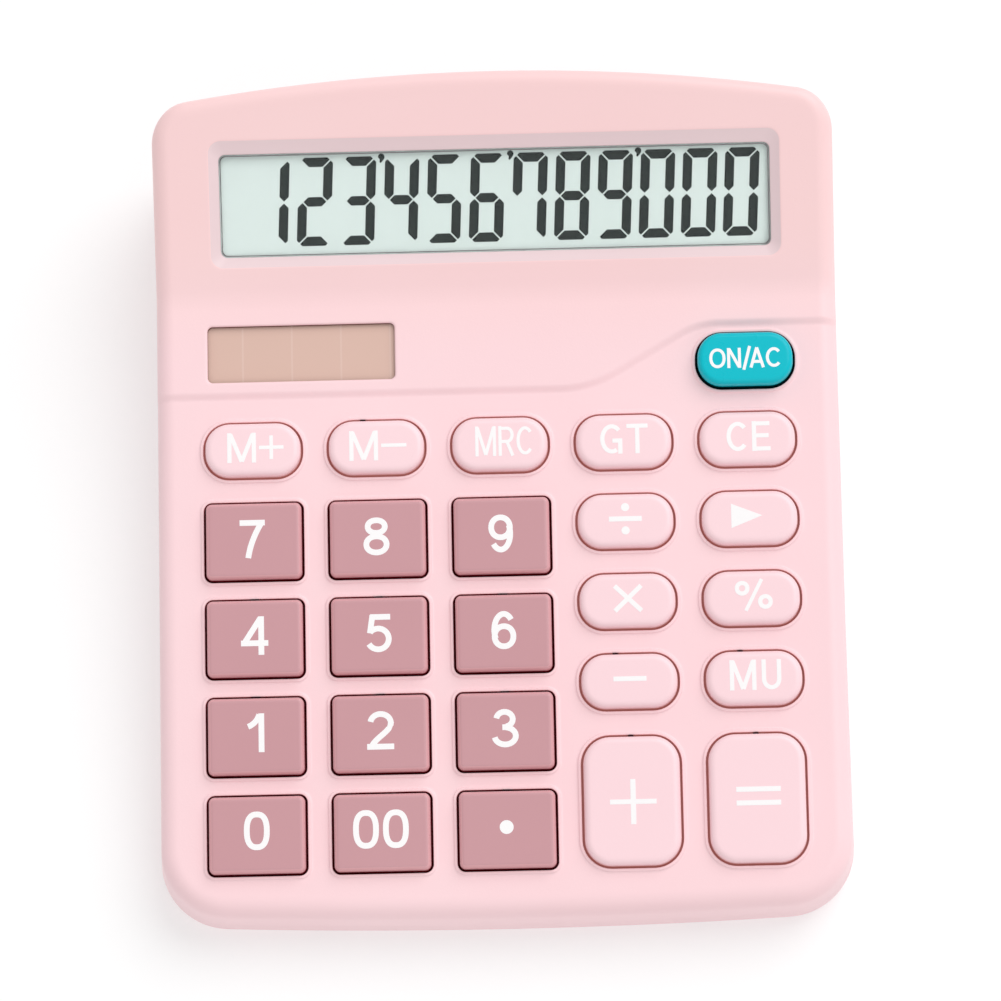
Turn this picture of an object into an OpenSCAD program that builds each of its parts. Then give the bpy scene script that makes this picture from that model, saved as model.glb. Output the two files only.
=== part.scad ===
// Desk calculator: a wedge-shaped moulded case with twenty-six travelling keys.
// Millimetres. X to the right, Y to the rear, Z up, origin on the table under the middle of the case.

/* [Case] */
// Overall width of the case
body_w = 120; // [119:0.5:126]
// Overall depth of the case, front to rear
body_d = 146; // [145:0.5:150]
// Height of the keypad deck above the table at its front edge
deck_front_h = 12.5; // [12.4:0.1:14]
// Slope of the keypad deck, degrees
deck_slope = 6; // [5.5:0.25:7]
// Slope of the display face, degrees
face_slope = 23; // [22:0.5:25]
// Distance up the deck from the front edge to the crease below the display
crease_v = 109.4; // [109:0.2:111]
// Radius that softens the crease
crease_r = 12; // [6:1:14]
// Wall thickness of both case halves
wall = 2; // [1.8:0.1:2.2]
// Radius of the rounded top edge
rim_r = 3; // [2.75:0.25:4]
// How far the side walls lean in towards the top
side_draft = 0.5; // [0.2:0.1:0.8]
// Plan radius of the front corners
front_corner_r = 12; // [9:0.5:13]
// Plan radius of the rear corners
rear_corner_r = 7.5; // [7:0.5:10]
// Plan radius of the bowed front edge
front_bow_r = 1100; // [900:50:2000]
// Plan radius of the bowed rear edge
rear_bow_r = 380; // [340:20:600]

/* [Step below the display] */
// Height of the raised band above the keypad deck
step_h = 0.6; // [0.4:0.1:0.8]
// Place of the step up the deck on the left
step_left_v = 92.6; // [92:0.1:93]
// Place of the step up the deck on the right
step_right_v = 103.4; // [103:0.1:104]
// Where the slanted stretch would meet the left level
step_low_x = 16.3; // [14:0.2:18]
// Where the slanted stretch would meet the right level
step_high_x = 35.3; // [33:0.2:36]
// Plan radius of the lower bend of the step
step_low_r = 20; // [12:1:22]
// Plan radius of the upper bend of the step
step_high_r = 13; // [8:1:14]

/* [Keys] */
// Column spacing of the keypad
col_pitch = 21.5; // [21.3:0.1:21.7]
// Sideways place of the middle column
keypad_x = 0.3; // [0:0.1:0.5]
// Width of every key
key_w = 16.7; // [16.3:0.1:17]
// Depth of a number key
number_key_d = 13.4; // [13:0.1:13.7]
// Depth of a function key
function_key_d = 9.5; // [9.2:0.1:9.7]
// Depth of the two tall keys
tall_key_d = 22.4; // [21.8:0.1:22.8]
// Corner radius of a number key
number_key_r = 1.1; // [0.9:0.1:2]
// Corner radius of a function key
function_key_r = 4.3; // [3.6:0.1:4.5]
// Corner radius of a tall key
tall_key_r = 4.7; // [4:0.1:6]
// Row spacing of the number keys
number_pitch = 17.1; // [17:0.01:17.2]
// Place of the lowest number row up the deck
number_first_v = 15.1; // [14.8:0.05:15.3]
// Row spacing of the function keys
function_pitch = 14.05; // [14:0.01:14.1]
// Place of the lowest function row up the deck
function_first_v = 40.4; // [40:0.05:40.6]
// How far a key stands above the deck
key_rise = 2; // [1.8:0.1:2.4]
// How far the power key stands above the deck
power_key_rise = 2.8; // [2.2:0.1:3.2]
// How far a key travels
key_travel = 1.3; // [1:0.05:1.4]
// Gap between a key and its opening
key_gap = 0.35; // [0.25:0.05:0.4]
// Width of the flange that keeps a key in
flange_w = 0.6; // [0.5:0.05:0.65]
// Thickness of the key flange
flange_t = 0.9; // [0.7:0.05:1]
// Width of the raised lip round a key opening
lip_w = 0.5; // [0.4:0.05:0.6]
// Height of the raised lip
lip_h = 0.3; // [0.2:0.05:0.4]

/* [Display and solar cell] */
// Width of the window opening
window_w = 96.2; // [94.6:0.2:96.6]
// Height of the window opening along the display face
window_d = 18; // [17.2:0.1:18.2]
// Distance from the crease to the lower edge of the window opening
window_s = 7.4; // [7.3:0.1:7.8]
// Sideways place of the window
window_x = 0.3; // [0:0.1:0.4]
// Width of the sloping border above the window
bevel_top = 2.6; // [2:0.1:2.8]
// Width of the sloping border below and beside the window
bevel_side = 1.8; // [1.4:0.1:2]
// Depth of the sloping border
bevel_depth = 0.8; // [0.5:0.1:1]
// Thickness of the clear window's flange behind the opening
window_t = 0.6; // [0.5:0.1:0.8]
// Gap round the clear pad that fills the window opening
window_gap = 0.2; // [0.1:0.05:0.3]
// Width of the solar cell opening
solar_w = 32.7; // [30:0.1:33]
// Depth of the solar cell opening
solar_d = 10; // [9.2:0.1:10]
// Sideways place of the solar cell
solar_x = -34.1; // [-34.2:0.1:-32]
// Place of the solar cell up the deck
solar_v = 99.8; // [99.5:0.1:99.9]
// Thickness of the solar cell
solar_t = 1.2; // [1:0.1:1.3]

/* [Board and keypad mat] */
// Thickness of the circuit board
board_t = 1.2; // [1:0.1:1.4]
// Thickness of the rubber mat's sheet
mat_t = 0.8; // [0.6:0.05:0.9]
// Height of a rubber dome above the sheet
dome_h = 2.35; // [2.3:0.05:2.5]
// Radius of a dome at its foot
dome_r = 4.5; // [4.2:0.1:4.6]
// Radius of a dome's button
button_r = 2.6; // [2.3:0.1:2.8]
// Thickness of a carbon contact
pill_t = 0.4; // [0.3:0.05:0.45]
// Shank radius of a board screw
board_screw_r = 1; // [0.9:0.05:1.1]
// Shank radius of a case screw
case_screw_r = 1.25; // [1.1:0.05:1.3]

/* [Bottom and battery] */
// Height of the feet under the case
foot_h = 1.4; // [1.2:0.1:1.6]
// Radius of a foot
foot_r = 5; // [4:0.5:5.5]
// Height of the joint line between the case halves
joint_z = 4; // [3.9:0.1:4.2]
// Diameter of an AA cell
cell_dia = 14.5; // [14:0.1:14.5]
// Length of an AA cell with its tip
cell_l = 50.5; // [50:0.1:50.5]
// Place of the cell along the depth
cell_y = 56; // [55.8:0.1:56.4]
// Thickness of the battery door
door_t = 1.5; // [1.3:0.1:1.6]
// Half of the battery door's width
door_half_w = 31; // [30.6:0.1:32]
// Front edge of the battery door
door_front_y = 44; // [43.8:0.1:44.6]
// Radius of a wire with its insulation
wire_r = 0.6; // [0.5:0.05:0.7]

/* [Hidden] */
$fn = 32;

// A key is [name, column, kind, row]. Rows count from the front, for each kind by itself.
KEYS = [
    ["on", 4, "power", 4],
    ["m_plus", 0, "function", 3], ["m_minus", 1, "function", 3], ["mrc", 2, "function", 3],
    ["gt", 3, "function", 3], ["ce", 4, "function", 3],
    ["divide", 3, "function", 2], ["backspace", 4, "function", 2],
    ["multiply", 3, "function", 1], ["percent", 4, "function", 1],
    ["minus", 3, "function", 0], ["mu", 4, "function", 0],
    ["7", 0, "number", 3], ["8", 1, "number", 3], ["9", 2, "number", 3],
    ["4", 0, "number", 2], ["5", 1, "number", 2], ["6", 2, "number", 2],
    ["1", 0, "number", 1], ["2", 1, "number", 1], ["3", 2, "number", 1],
    ["0", 0, "number", 0], ["00", 1, "number", 0], ["point", 2, "number", 0],
    ["plus", 3, "tall", 0], ["equals", 4, "tall", 0]
];
FEET = [["front_left", -1, -1], ["front_right", 1, -1], ["rear_left", -1, 1], ["rear_right", 1, 1]];

pink = [0.98, 0.84, 0.85];
rose = [0.80, 0.61, 0.64];
teal = [0.0, 0.70, 0.76];
steel = [0.75, 0.76, 0.78];

// Deck frame: v up the slope from the front edge, w out of the deck.
front_y = -body_d / 2;
rear_y = body_d / 2;
deck_z0 = deck_front_h - front_y * tan(deck_slope);
crease_y = front_y + crease_v * cos(deck_slope);
crease_z = deck_z0 + crease_y * tan(deck_slope) + step_h / cos(deck_slope);
face_z0 = crease_z - crease_y * tan(face_slope);

// Stack below the deck, each level a distance w along the deck's normal.
slack = 0.05;
flange_top_w = -wall - 0.25;
flange_bottom_w = flange_top_w - flange_t;
plunger_w = flange_bottom_w - 0.35;
dome_top_w = plunger_w - slack;
sheet_top_w = dome_top_w - dome_h;
board_top_w = sheet_top_w - mat_t;
board_bottom_w = board_top_w - board_t;
pill_bottom_w = board_top_w + key_travel - slack;
button_bottom_w = pill_bottom_w + pill_t;

// Stack below the display face, each level a distance n along the face's normal.
lip_depth = bevel_depth + 0.4;
window_border = 1.4;
window_r = 1.2;
lcd_top_n = -lip_depth - window_t - slack;
glass_t = 1.05;
reflector_t = 0.3;
reflector_bottom_n = lcd_top_n - 2 * glass_t - reflector_t;
holder_t = 1.5;
holder_top_n = reflector_bottom_n - slack;
lcd_half_w = window_w / 2 + 0.8;
lcd_s0 = window_s - 2.6;
lcd_s1 = window_s + window_d + 1.8;
ledge_d = 2;
holder_fit = 0.3;
holder_wall = 1.4;

// Board and its screws, in the deck frame. Bosses stand where four keys meet.
board_half_w = 51;
board_v0 = 8;
board_v1 = crease_v - 4.4;
mat_half_w = 50.5;
mat_v1 = function_first_v + 3 * function_pitch + function_key_d / 2 + 1.4;
boss_r = 1.9;
screw_fit = 0.05;
screw_head_t = 1.2;
screw_head_r = 1.85;
function between_rows(i) = number_first_v + (i + 0.5) * number_pitch;
function between_cols(i) = keypad_x + (i - 1.5) * col_pitch;
BOARD_SCREWS = [
    [between_cols(0), between_rows(0)], [between_cols(1), between_rows(0)],
    [between_cols(0), between_rows(2)], [between_cols(1), between_rows(2)],
    [between_cols(3), function_first_v - function_key_d / 2 - 1.7],
    [between_cols(3), function_first_v + 2.5 * function_pitch],
    [between_cols(1) + 2.5, board_v1 - 8], [between_cols(2) + 14, board_v1 - 8]
];
HOLDER_SCREWS = [for (side = [-1, 1], p = [[lcd_half_w - 5, lcd_s0 - 4], [lcd_half_w - 19, lcd_s1 + 3.9]]) [window_x + side * p[0], p[1]]];
ear_r = 2.2;

// Case screws and feet, in plan.
case_boss_r = 2.6;
case_post_r = 2.4;
case_head_r = 2;
front_screw_margin = 5;
rear_screw_margin = 21;
side_screw_margin = 6;
seam_lip_h = 2;
front_boss_z = joint_z + seam_lip_h + 0.3;
rear_boss_z = 14;
front_screw_y = front_y + front_screw_margin * cos(deck_slope);
rear_screw_y = rear_y - rear_screw_margin;
rear_screw_x = body_w / 2 - side_screw_margin;
CASE_SCREWS = [
    [between_cols(0), front_screw_y, front_boss_z], [between_cols(3), front_screw_y, front_boss_z],
    [-rear_screw_x, rear_screw_y, rear_boss_z], [rear_screw_x, rear_screw_y, rear_boss_z]
];
case_head_sink = 2;
case_head_t = 1.5;
case_screw_bite = 3.6;
case_head_z = foot_h + case_head_sink;
foot_side_margin = 14;
foot_front_margin = 15;
foot_rear_margin = 13;
foot_x = body_w / 2 - foot_side_margin;
foot_front_y = front_y + foot_front_margin;
foot_rear_y = rear_y - foot_rear_margin;
foot_sink = 0.6;

// Stiffening ribs across the floor, counted from the front.
rib_first = 28;
rib_pitch = 30;
rib_margin = 8;
rib_w = 1;
rib_h = 1.4;

// Battery bay, in plan.
floor_z = foot_h + wall;
tray_r = 1.6;
tray_draft = 0.25;
lip_inset = wall + 0.35;
lip_t = 1;
door_top_z = foot_h + door_t;
recess_z = door_top_z + 0.1;
pad_z = recess_z + 1.6;
door_fit = 0.2;
tongue_w = 1;
tongue_t = 0.8;
bay_half_l = cell_l / 2 + 2.75;
bay_half_d = cell_dia / 2 + 0.75;
bay_wall = 1.4;
cell_z = door_top_z + 0.3 + cell_dia / 2;
bay_roof_z = cell_z + cell_dia / 2 + 0.4;
contact_t = 0.4;
cell_x1 = bay_half_l - 0.1 - contact_t - 0.1;
wire_rise = cell_dia / 2 - 2.75;
wire_inset = 6;
wire_drop = 4;

function deck_h(y, lift) = deck_z0 + y * tan(deck_slope) + lift / cos(deck_slope);
function face_h(y, lift) = face_z0 + y * tan(face_slope) + lift / cos(face_slope);

// Height of the case's top line at y: the deck and the face, each lifted, joined by an arc of radius r.
function top_h(y, deck_lift, face_lift, r) =
    let (
        cy = (deck_h(0, deck_lift) - face_h(0, face_lift)) / (tan(face_slope) - tan(deck_slope)),
        reach = r / cos((face_slope - deck_slope) / 2),
        mean = (face_slope + deck_slope) / 2,
        ay = cy - reach * sin(mean),
        az = deck_h(cy, deck_lift) + reach * cos(mean)
    )
    y <= ay + r * sin(deck_slope) ? deck_h(y, deck_lift)
    : y >= ay + r * sin(face_slope) ? face_h(y, face_lift)
    : az - sqrt(r * r - (y - ay) * (y - ay));

// Plan outline as [x, y, normal x, normal y], from the front middle round the right side.
function bend(cx, cy, r, a0, a1, n, from = 0) =
    [for (i = [from:n]) let (a = a0 + (a1 - a0) * i / n) [cx + r * cos(a), cy + r * sin(a), cos(a), sin(a)]];
front_mid_y = front_y + front_bow_r;
front_bend_x = body_w / 2 - front_corner_r;
front_bend_y = front_mid_y - sqrt(pow(front_bow_r - front_corner_r, 2) - pow(front_bend_x, 2));
front_bend_a = atan2(front_bend_y - front_mid_y, front_bend_x);
rear_mid_y = rear_y - rear_bow_r;
rear_bend_x = body_w / 2 - rear_corner_r;
rear_bend_y = rear_mid_y + sqrt(pow(rear_bow_r - rear_corner_r, 2) - pow(rear_bend_x, 2));
rear_bend_a = atan2(rear_bend_y - rear_mid_y, rear_bend_x);
crease_reach = crease_r * sin((face_slope - deck_slope) / 2) + 1;
half_rim = concat(
    bend(0, front_mid_y, front_bow_r, -90, front_bend_a, 4),
    bend(front_bend_x, front_bend_y, front_corner_r, front_bend_a, 0, 6, 1),
    [for (i = [-2:2]) [body_w / 2, crease_y - 1 + crease_reach * i / 2, 1, 0]],
    bend(rear_bend_x, rear_bend_y, rear_corner_r, 0, rear_bend_a, 6),
    bend(0, rear_mid_y, rear_bow_r, rear_bend_a, 90, 6, 1));
half_n = len(half_rim) - 1;
rim = concat(half_rim, [for (i = [half_n - 1:-1:1]) let (p = half_rim[i]) [-p[0], p[1], -p[2], p[3]]]);
function plan(d) = [for (p = rim) [p[0] - d * p[2], p[1] - d * p[3]]];

// Side faces of a loft through rings of n points, as triangles.
function band_faces(n, m) = [
    for (j = [0:m - 2], i = [0:n - 1])
    let (a = j * n + i, b = j * n + (i + 1) % n)
    each [[a, a + n, b + n], [a, b + n, b]]
];

module loft(rings) {
    n = len(rings[0]);
    m = len(rings);
    polyhedron(
        points = [for (r = rings) each r],
        faces = concat(
            [[for (i = [0:n - 1]) i]],
            band_faces(n, m),
            [[for (i = [n - 1:-1:0]) (m - 1) * n + i]]));
}

// The wedge: a flat foot, walls that lean in, and a rounded edge to the two top slopes.
// The top is a ladder of level rungs, so each of its faces is flat.
module wedge(inset, foot_z, edge_r, deck_lift, face_lift, blend_r) {
    steps = 5;
    n = len(rim);
    lean = inset + side_draft;
    function ring(a) =
        let (d = lean + edge_r * (1 - cos(a)))
        [for (p = plan(d)) [p[0], p[1], top_h(p[1], deck_lift, face_lift, blend_r) - edge_r * (1 - sin(a))]];
    rings = concat([[for (p = plan(inset)) [p[0], p[1], foot_z]]], [for (i = [0:steps]) ring(90 * i / steps)]);
    top = (len(rings) - 1) * n;
    function rung(i) = top + (n - i) % n;
    polyhedron(
        points = [for (r = rings) each r],
        faces = concat(
            [[for (i = [0:n - 1]) i]],
            band_faces(n, len(rings)),
            [[rung(1), top + 1, top]],
            [for (i = [1:half_n - 2]) [rung(i), rung(i + 1), top + i + 1, top + i]],
            [[top + half_n + 1, top + half_n, top + half_n - 1]]));
}

module on_deck() {
    translate([0, front_y, deck_front_h]) rotate([deck_slope, 0, 0]) children();
}

module on_face() {
    translate([0, crease_y, crease_z]) rotate([face_slope, 0, 0]) children();
}

module slab(w, d, r) {
    square([w - 2 * r, d], center = true);
    square([w, d - 2 * r], center = true);
    for (x = [-1, 1], y = [-1, 1]) translate([x * (w / 2 - r), y * (d / 2 - r)]) circle(r);
}

module block(x0, x1, y0, y1, z0, z1) {
    translate([x0, y0, z0]) cube([x1 - x0, y1 - y0, z1 - z0]);
}

module post(r, z0, z1) {
    translate([0, 0, z0]) cylinder(r = r, h = z1 - z0);
}

function key_x(k) = keypad_x + (k[1] - 2) * col_pitch;
function key_v(k) =
    k[2] == "number" ? number_first_v + k[3] * number_pitch
    : k[2] == "tall" ? number_first_v - number_key_d / 2 + tall_key_d / 2
    : function_first_v + k[3] * function_pitch;
function key_d(k) = k[2] == "number" ? number_key_d : k[2] == "tall" ? tall_key_d : function_key_d;
function key_r(k) = k[2] == "number" ? number_key_r : k[2] == "tall" ? tall_key_r : function_key_r;
function key_top(k) = k[2] == "power" ? power_key_rise : key_rise;

// A key's outline grown by e all round.
module key_shape(k, e) {
    slab(key_w + 2 * e, key_d(k) + 2 * e, key_r(k) + e);
}

module at_key(k) {
    on_deck() translate([key_x(k), key_v(k), 0]) children();
}

// Region of the raised band, in the deck frame: up from the S-shaped step to behind the crease.
step_a = atan2(step_right_v - step_left_v, step_high_x - step_low_x);
step_side = body_w / 2 + 1;
step_rear_v = crease_v + crease_reach + 1;
step_line = concat(
    [[-step_side, step_left_v]],
    [for (i = [0:6]) let (a = step_a * i / 6)
        [step_low_x - step_low_r * tan(step_a / 2) + step_low_r * sin(a), step_left_v + step_low_r * (1 - cos(a))]],
    [for (i = [6:-1:0]) let (a = step_a * i / 6)
        [step_high_x + step_high_r * tan(step_a / 2) - step_high_r * sin(a),
         step_right_v - step_high_r * (1 - cos(a))]],
    [[step_side, step_right_v], [step_side, step_rear_v], [-step_side, step_rear_v]]);

module raised_band() {
    intersection() {
        on_deck() translate([0, 0, -wall / 2]) linear_extrude(wall) polygon(step_line);
        wedge(0.4, joint_z + 1, rim_r, step_h, -slack, crease_r);
    }
}

// Window opening with its sloping border, and the pocket for the window behind it.
module window_cut() {
    mid = window_s + window_d / 2;
    function frame_ring(grow, top, n) = [
        for (p = [[-1, -1], [1, -1], [1, 1], [-1, 1]])
        [window_x + p[0] * (window_w / 2 + grow), mid + p[1] * window_d / 2 + (p[1] < 0 ? -grow : top), n]
    ];
    over = 1;
    k = (bevel_depth + over) / bevel_depth;
    on_face() {
        loft([frame_ring(0, 0, -bevel_depth), frame_ring(bevel_side * k, bevel_top * k, over)]);
        translate([window_x, mid, -lip_depth - 1]) linear_extrude(lip_depth + 1) slab(window_w, window_d, window_r);
        translate([window_x, mid, -wall - 4])
            linear_extrude(wall + 4 - lip_depth)
            square([window_w + 2 * window_border + 0.2, window_d + 2 * window_border + 0.2], center = true);
        translate([window_x, 0, 0])
            block(-lcd_half_w - holder_fit, lcd_half_w + holder_fit, lcd_s0 - holder_fit, lcd_s1 + holder_fit,
                  -wall - 4, lcd_top_n + slack);
    }
}

solar_top_w = step_h - 1;
solar_border = 1.6;

module solar_cut() {
    on_deck() translate([solar_x, solar_v, 0]) {
        translate([0, 0, -wall - 1]) linear_extrude(wall + step_h + 2) slab(solar_w, solar_d, 0.9);
        translate([0, 0, -wall - 3])
            linear_extrude(wall + 3 + solar_top_w)
            square([solar_w + 2 * solar_border + 0.2, solar_d + 2 * solar_border + 0.2], center = true);
    }
}

module case_skin() {
    difference() {
        union() {
            wedge(0, joint_z, rim_r, 0, 0, crease_r);
            raised_band();
            for (k = KEYS)
                at_key(k) translate([0, 0, -wall / 2]) linear_extrude(wall / 2 + lip_h) key_shape(k, key_gap + lip_w);
        }
        wedge(wall, joint_z - 1, rim_r - wall, -wall, -wall, crease_r + wall);
    }
}

module top_case() color(pink) {
    difference() {
        union() {
            case_skin();
            for (p = BOARD_SCREWS)
                on_deck() translate([p[0], p[1], 0]) post(boss_r, board_top_w, -wall / 2);
            for (p = HOLDER_SCREWS)
                on_face() translate([p[0], p[1], 0]) post(boss_r, holder_top_n, -wall / 2);
            intersection() {
                for (p = CASE_SCREWS) translate([p[0], p[1], 0]) post(case_boss_r, p[2], 2 * crease_z);
                wedge(wall / 2, joint_z - 1, rim_r - wall / 2, -wall / 2, -wall / 2, crease_r + wall / 2);
            }
        }
        for (k = KEYS)
            at_key(k) translate([0, 0, -wall - 1]) linear_extrude(wall + 3) key_shape(k, key_gap);
        window_cut();
        solar_cut();
        for (p = BOARD_SCREWS)
            on_deck() translate([p[0], p[1], 0]) post(board_screw_r + screw_fit, board_top_w - 1, -wall / 2 - 0.6);
        for (p = HOLDER_SCREWS)
            on_face() translate([p[0], p[1], 0]) post(board_screw_r + screw_fit, holder_top_n - 1, -wall / 2 - 0.6);
        for (p = CASE_SCREWS)
            translate([p[0], p[1], 0]) post(case_screw_r + screw_fit, p[2] - 1, p[2] + case_screw_bite + 0.4);
    }
}

// The tray below the joint line, as one solid block.
module tray_form() {
    steps = 3;
    loft(concat(
        [for (i = [0:steps]) let (a = 90 * i / steps, d = tray_draft + tray_r * (1 - sin(a)))
            [for (p = plan(d)) [p[0], p[1], foot_h + tray_r * (1 - cos(a))]]],
        [[for (p = plan(0)) [p[0], p[1], joint_z]]]));
}

module door_slot(fit) {
    far = rear_y + 5;
    side = door_half_w + fit;
    block(-side, side, door_front_y - fit, far, foot_h - 1, door_top_z + fit / 2);
    block(-side - tongue_w, side + tongue_w, door_front_y - fit, far, door_top_z - tongue_t - fit / 2, door_top_z + fit / 2);
}

module bottom_case() color(pink) {
    difference() {
        union() {
            difference() {
                union() {
                    tray_form();
                    translate([0, 0, joint_z - 0.5]) linear_extrude(seam_lip_h + 0.5) polygon(plan(lip_inset));
                }
                translate([0, 0, floor_z]) linear_extrude(10) polygon(plan(lip_inset + lip_t));
            }
            for (i = [0:2])
                translate([0, front_y + rib_first + i * rib_pitch, 0])
                    block(-body_w / 2 + rib_margin, body_w / 2 - rib_margin, 0, rib_w,
                          floor_z - 0.5, floor_z + rib_h);
            intersection() {
                for (p = CASE_SCREWS) translate([p[0], p[1], 0]) post(case_post_r, floor_z - 0.5, p[2] - slack);
                linear_extrude(crease_z) polygon(plan(lip_inset));
            }
            block(-door_half_w - 5, door_half_w + 5, door_front_y - 3, rear_y - 5, floor_z - 0.5, pad_z);
            block(-bay_half_l - bay_wall, bay_half_l + bay_wall, cell_y - bay_half_d - bay_wall,
                  cell_y + bay_half_d + bay_wall, floor_z - 0.5, bay_roof_z + bay_wall);
        }
        door_slot(door_fit);
        block(-bay_half_l, bay_half_l, cell_y - bay_half_d, cell_y + bay_half_d, 0, bay_roof_z);
        for (p = CASE_SCREWS)
            translate([p[0], p[1], 0]) {
                post(case_head_r + 0.2, 0, case_head_z);
                post(case_screw_r + 0.2, 0, p[2] + 1);
            }
        for (f = FEET)
            translate([f[1] * foot_x, f[2] < 0 ? foot_front_y : foot_rear_y, 0]) post(foot_r + 0.1, 0, foot_h + foot_sink);
        for (x = [-1, 1])
            translate([x * (bay_half_l - 1.3), cell_y - bay_half_d + 1, cell_z + wire_rise])
                rotate([90, 0, 0]) cylinder(r = wire_r + 0.3, h = bay_wall + 2);
    }
}

module battery_door() color(pink) {
    far = rear_y + 5;
    difference() {
        union() {
            intersection() {
                tray_form();
                block(-door_half_w, door_half_w, door_front_y, far, 0, door_top_z);
            }
            block(-door_half_w - tongue_w, door_half_w + tongue_w, door_front_y, rear_y - 8,
                  door_top_z - tongue_t, door_top_z);
        }
        for (i = [0:4])
            block(-9, 9, rear_y - 12 + 1.6 * i, rear_y - 11.2 + 1.6 * i, 0, foot_h + 0.4);
    }
}

module display_window() color([0.85, 0.93, 0.92, 0.4]) {
    on_face() translate([window_x, window_s + window_d / 2, -lip_depth - window_t]) {
        linear_extrude(window_t) square([window_w + 2 * window_border, window_d + 2 * window_border], center = true);
        linear_extrude(window_t + lip_depth - bevel_depth)
            slab(window_w - 2 * window_gap, window_d - 2 * window_gap, window_r - window_gap);
    }
}

module lcd_panel() color([0.84, 0.89, 0.86]) {
    on_face() translate([window_x, 0, 0]) {
        block(-lcd_half_w, lcd_half_w, lcd_s0 + ledge_d, lcd_s1, lcd_top_n - glass_t, lcd_top_n);
        block(-lcd_half_w, lcd_half_w, lcd_s0, lcd_s1, lcd_top_n - 2 * glass_t, lcd_top_n - glass_t);
    }
}

module lcd_reflector() color([0.92, 0.93, 0.93]) {
    on_face() translate([window_x, 0, 0])
        block(-lcd_half_w, lcd_half_w, lcd_s0, lcd_s1, reflector_bottom_n, reflector_bottom_n + reflector_t);
}

ribbon_half_w = 32;

module lcd_holder() color([0.95, 0.95, 0.93]) {
    in_x = lcd_half_w + holder_fit;
    s0 = lcd_s0 - holder_fit;
    s1 = lcd_s1 + holder_fit;
    top_n = min(lcd_top_n - glass_t / 2, -wall - slack);
    bar_w = 8;
    span = (2 * in_x - bar_w) / 3;
    difference() {
        on_face() translate([window_x, 0, 0]) difference() {
            union() {
                block(-in_x - holder_wall, in_x + holder_wall, s0 - holder_wall, s1 + holder_wall,
                      holder_top_n - holder_t, top_n);
                for (p = HOLDER_SCREWS) {
                    inner = p[1] < s0 ? s0 : s1;
                    translate([p[0] - window_x, p[1], 0]) post(ear_r, holder_top_n - holder_t, holder_top_n);
                    block(p[0] - window_x - ear_r, p[0] - window_x + ear_r, min(p[1], inner), max(p[1], inner),
                          holder_top_n - holder_t, holder_top_n);
                }
            }
            block(-in_x, in_x, s0, s1, holder_top_n, top_n + 1);
            block(-ribbon_half_w - 1, ribbon_half_w + 1, s0 - 5, s0 + 1, holder_top_n, top_n + 1);
            for (i = [-1:1])
                block(i * span - span / 2 + bar_w / 2, i * span + span / 2 - bar_w / 2, s0 + 5, s1 - 5,
                      holder_top_n - holder_t - 1, holder_top_n + 1);
        }
        for (p = HOLDER_SCREWS)
            on_face() translate([p[0], p[1], 0]) post(board_screw_r + 0.2, holder_top_n - holder_t - 1, holder_top_n + 1);
    }
}

// A point of the deck frame or of the display face as [y, z].
function deck_point(v, w) = [front_y + v * cos(deck_slope) - w * sin(deck_slope),
                             deck_front_h + v * sin(deck_slope) + w * cos(deck_slope)];
function face_point(s, n) = [crease_y + s * cos(face_slope) - n * sin(face_slope),
                             crease_z + s * sin(face_slope) + n * cos(face_slope)];

function mix(a, b, t) = a * (1 - t) + b * t;
function bezier(a, b, c, d, t) =
    mix(mix(mix(a, b, t), mix(b, c, t), t), mix(mix(b, c, t), mix(c, d, t), t), t);

module lcd_ribbon() {
    t = 0.15;
    steps = 10;
    lcd_n = lcd_top_n - glass_t + t / 2 + 0.02;
    board_w = board_top_w + t / 2 + 0.02;
    line = concat(
        [face_point(lcd_s0 + ledge_d - 0.3, lcd_n)],
        [for (i = [0:steps]) bezier(face_point(lcd_s0 - 0.3, lcd_n), face_point(lcd_s0 - 4, lcd_n),
                                    deck_point(board_v1 + 4, board_w), deck_point(board_v1 + 0.3, board_w), i / steps)],
        [deck_point(board_v1 - 3, board_w)]);
    last = len(line) - 1;
    function side(i) =
        let (d = line[min(i + 1, last)] - line[max(i - 1, 0)], q = [-d[1], d[0]] / norm(d)) q * t / 2;
    color([0.75, 0.70, 0.55])
        translate([window_x - ribbon_half_w, 0, 0]) rotate([90, 0, 90]) linear_extrude(2 * ribbon_half_w)
        polygon(concat([for (i = [0:last]) line[i] + side(i)], [for (i = [last:-1:0]) line[i] - side(i)]));
}

module solar_cell() color([0.76, 0.66, 0.57]) {
    on_deck() translate([solar_x, solar_v, solar_top_w - solar_t])
        linear_extrude(solar_t) square([solar_w + 2 * solar_border, solar_d + 2 * solar_border], center = true);
}

// A round tube of radius r along a list of points.
module tube(path, r, sides = 8) {
    last = len(path) - 1;
    function ring(i) =
        let (
            d = path[min(i + 1, last)] - path[max(i - 1, 0)],
            t = d / norm(d),
            u0 = cross(t, abs(t[0]) < 0.8 ? [1, 0, 0] : [0, 1, 0]),
            u = u0 / norm(u0),
            q = cross(t, u)
        )
        [for (k = [0:sides - 1]) path[i] + r * (cos(360 * k / sides) * u + sin(360 * k / sides) * q)];
    loft([for (i = [0:last]) ring(i)]);
}

function smooth(a, b, c, d, n) = [for (i = [0:n]) bezier(a, b, c, d, i / n)];

module solar_wire(x) {
    a = deck_point(solar_v, solar_top_w - solar_t - 0.15);
    b = deck_point(solar_v, solar_top_w - solar_t - 2.5);
    c = deck_point(solar_v - 3, board_top_w + 2.5);
    d = deck_point(solar_v - 3, board_top_w + 0.15);
    tube(smooth([x, a[0], a[1]], [x, b[0], b[1]], [x, c[0], c[1]], [x, d[0], d[1]], 8), wire_r);
}

module solar_wire_red() color("firebrick") {
    solar_wire(solar_x - solar_w / 2 + 4);
}

module solar_wire_black() color([0.1, 0.1, 0.1]) {
    solar_wire(solar_x + solar_w / 2 - 4);
}

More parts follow.
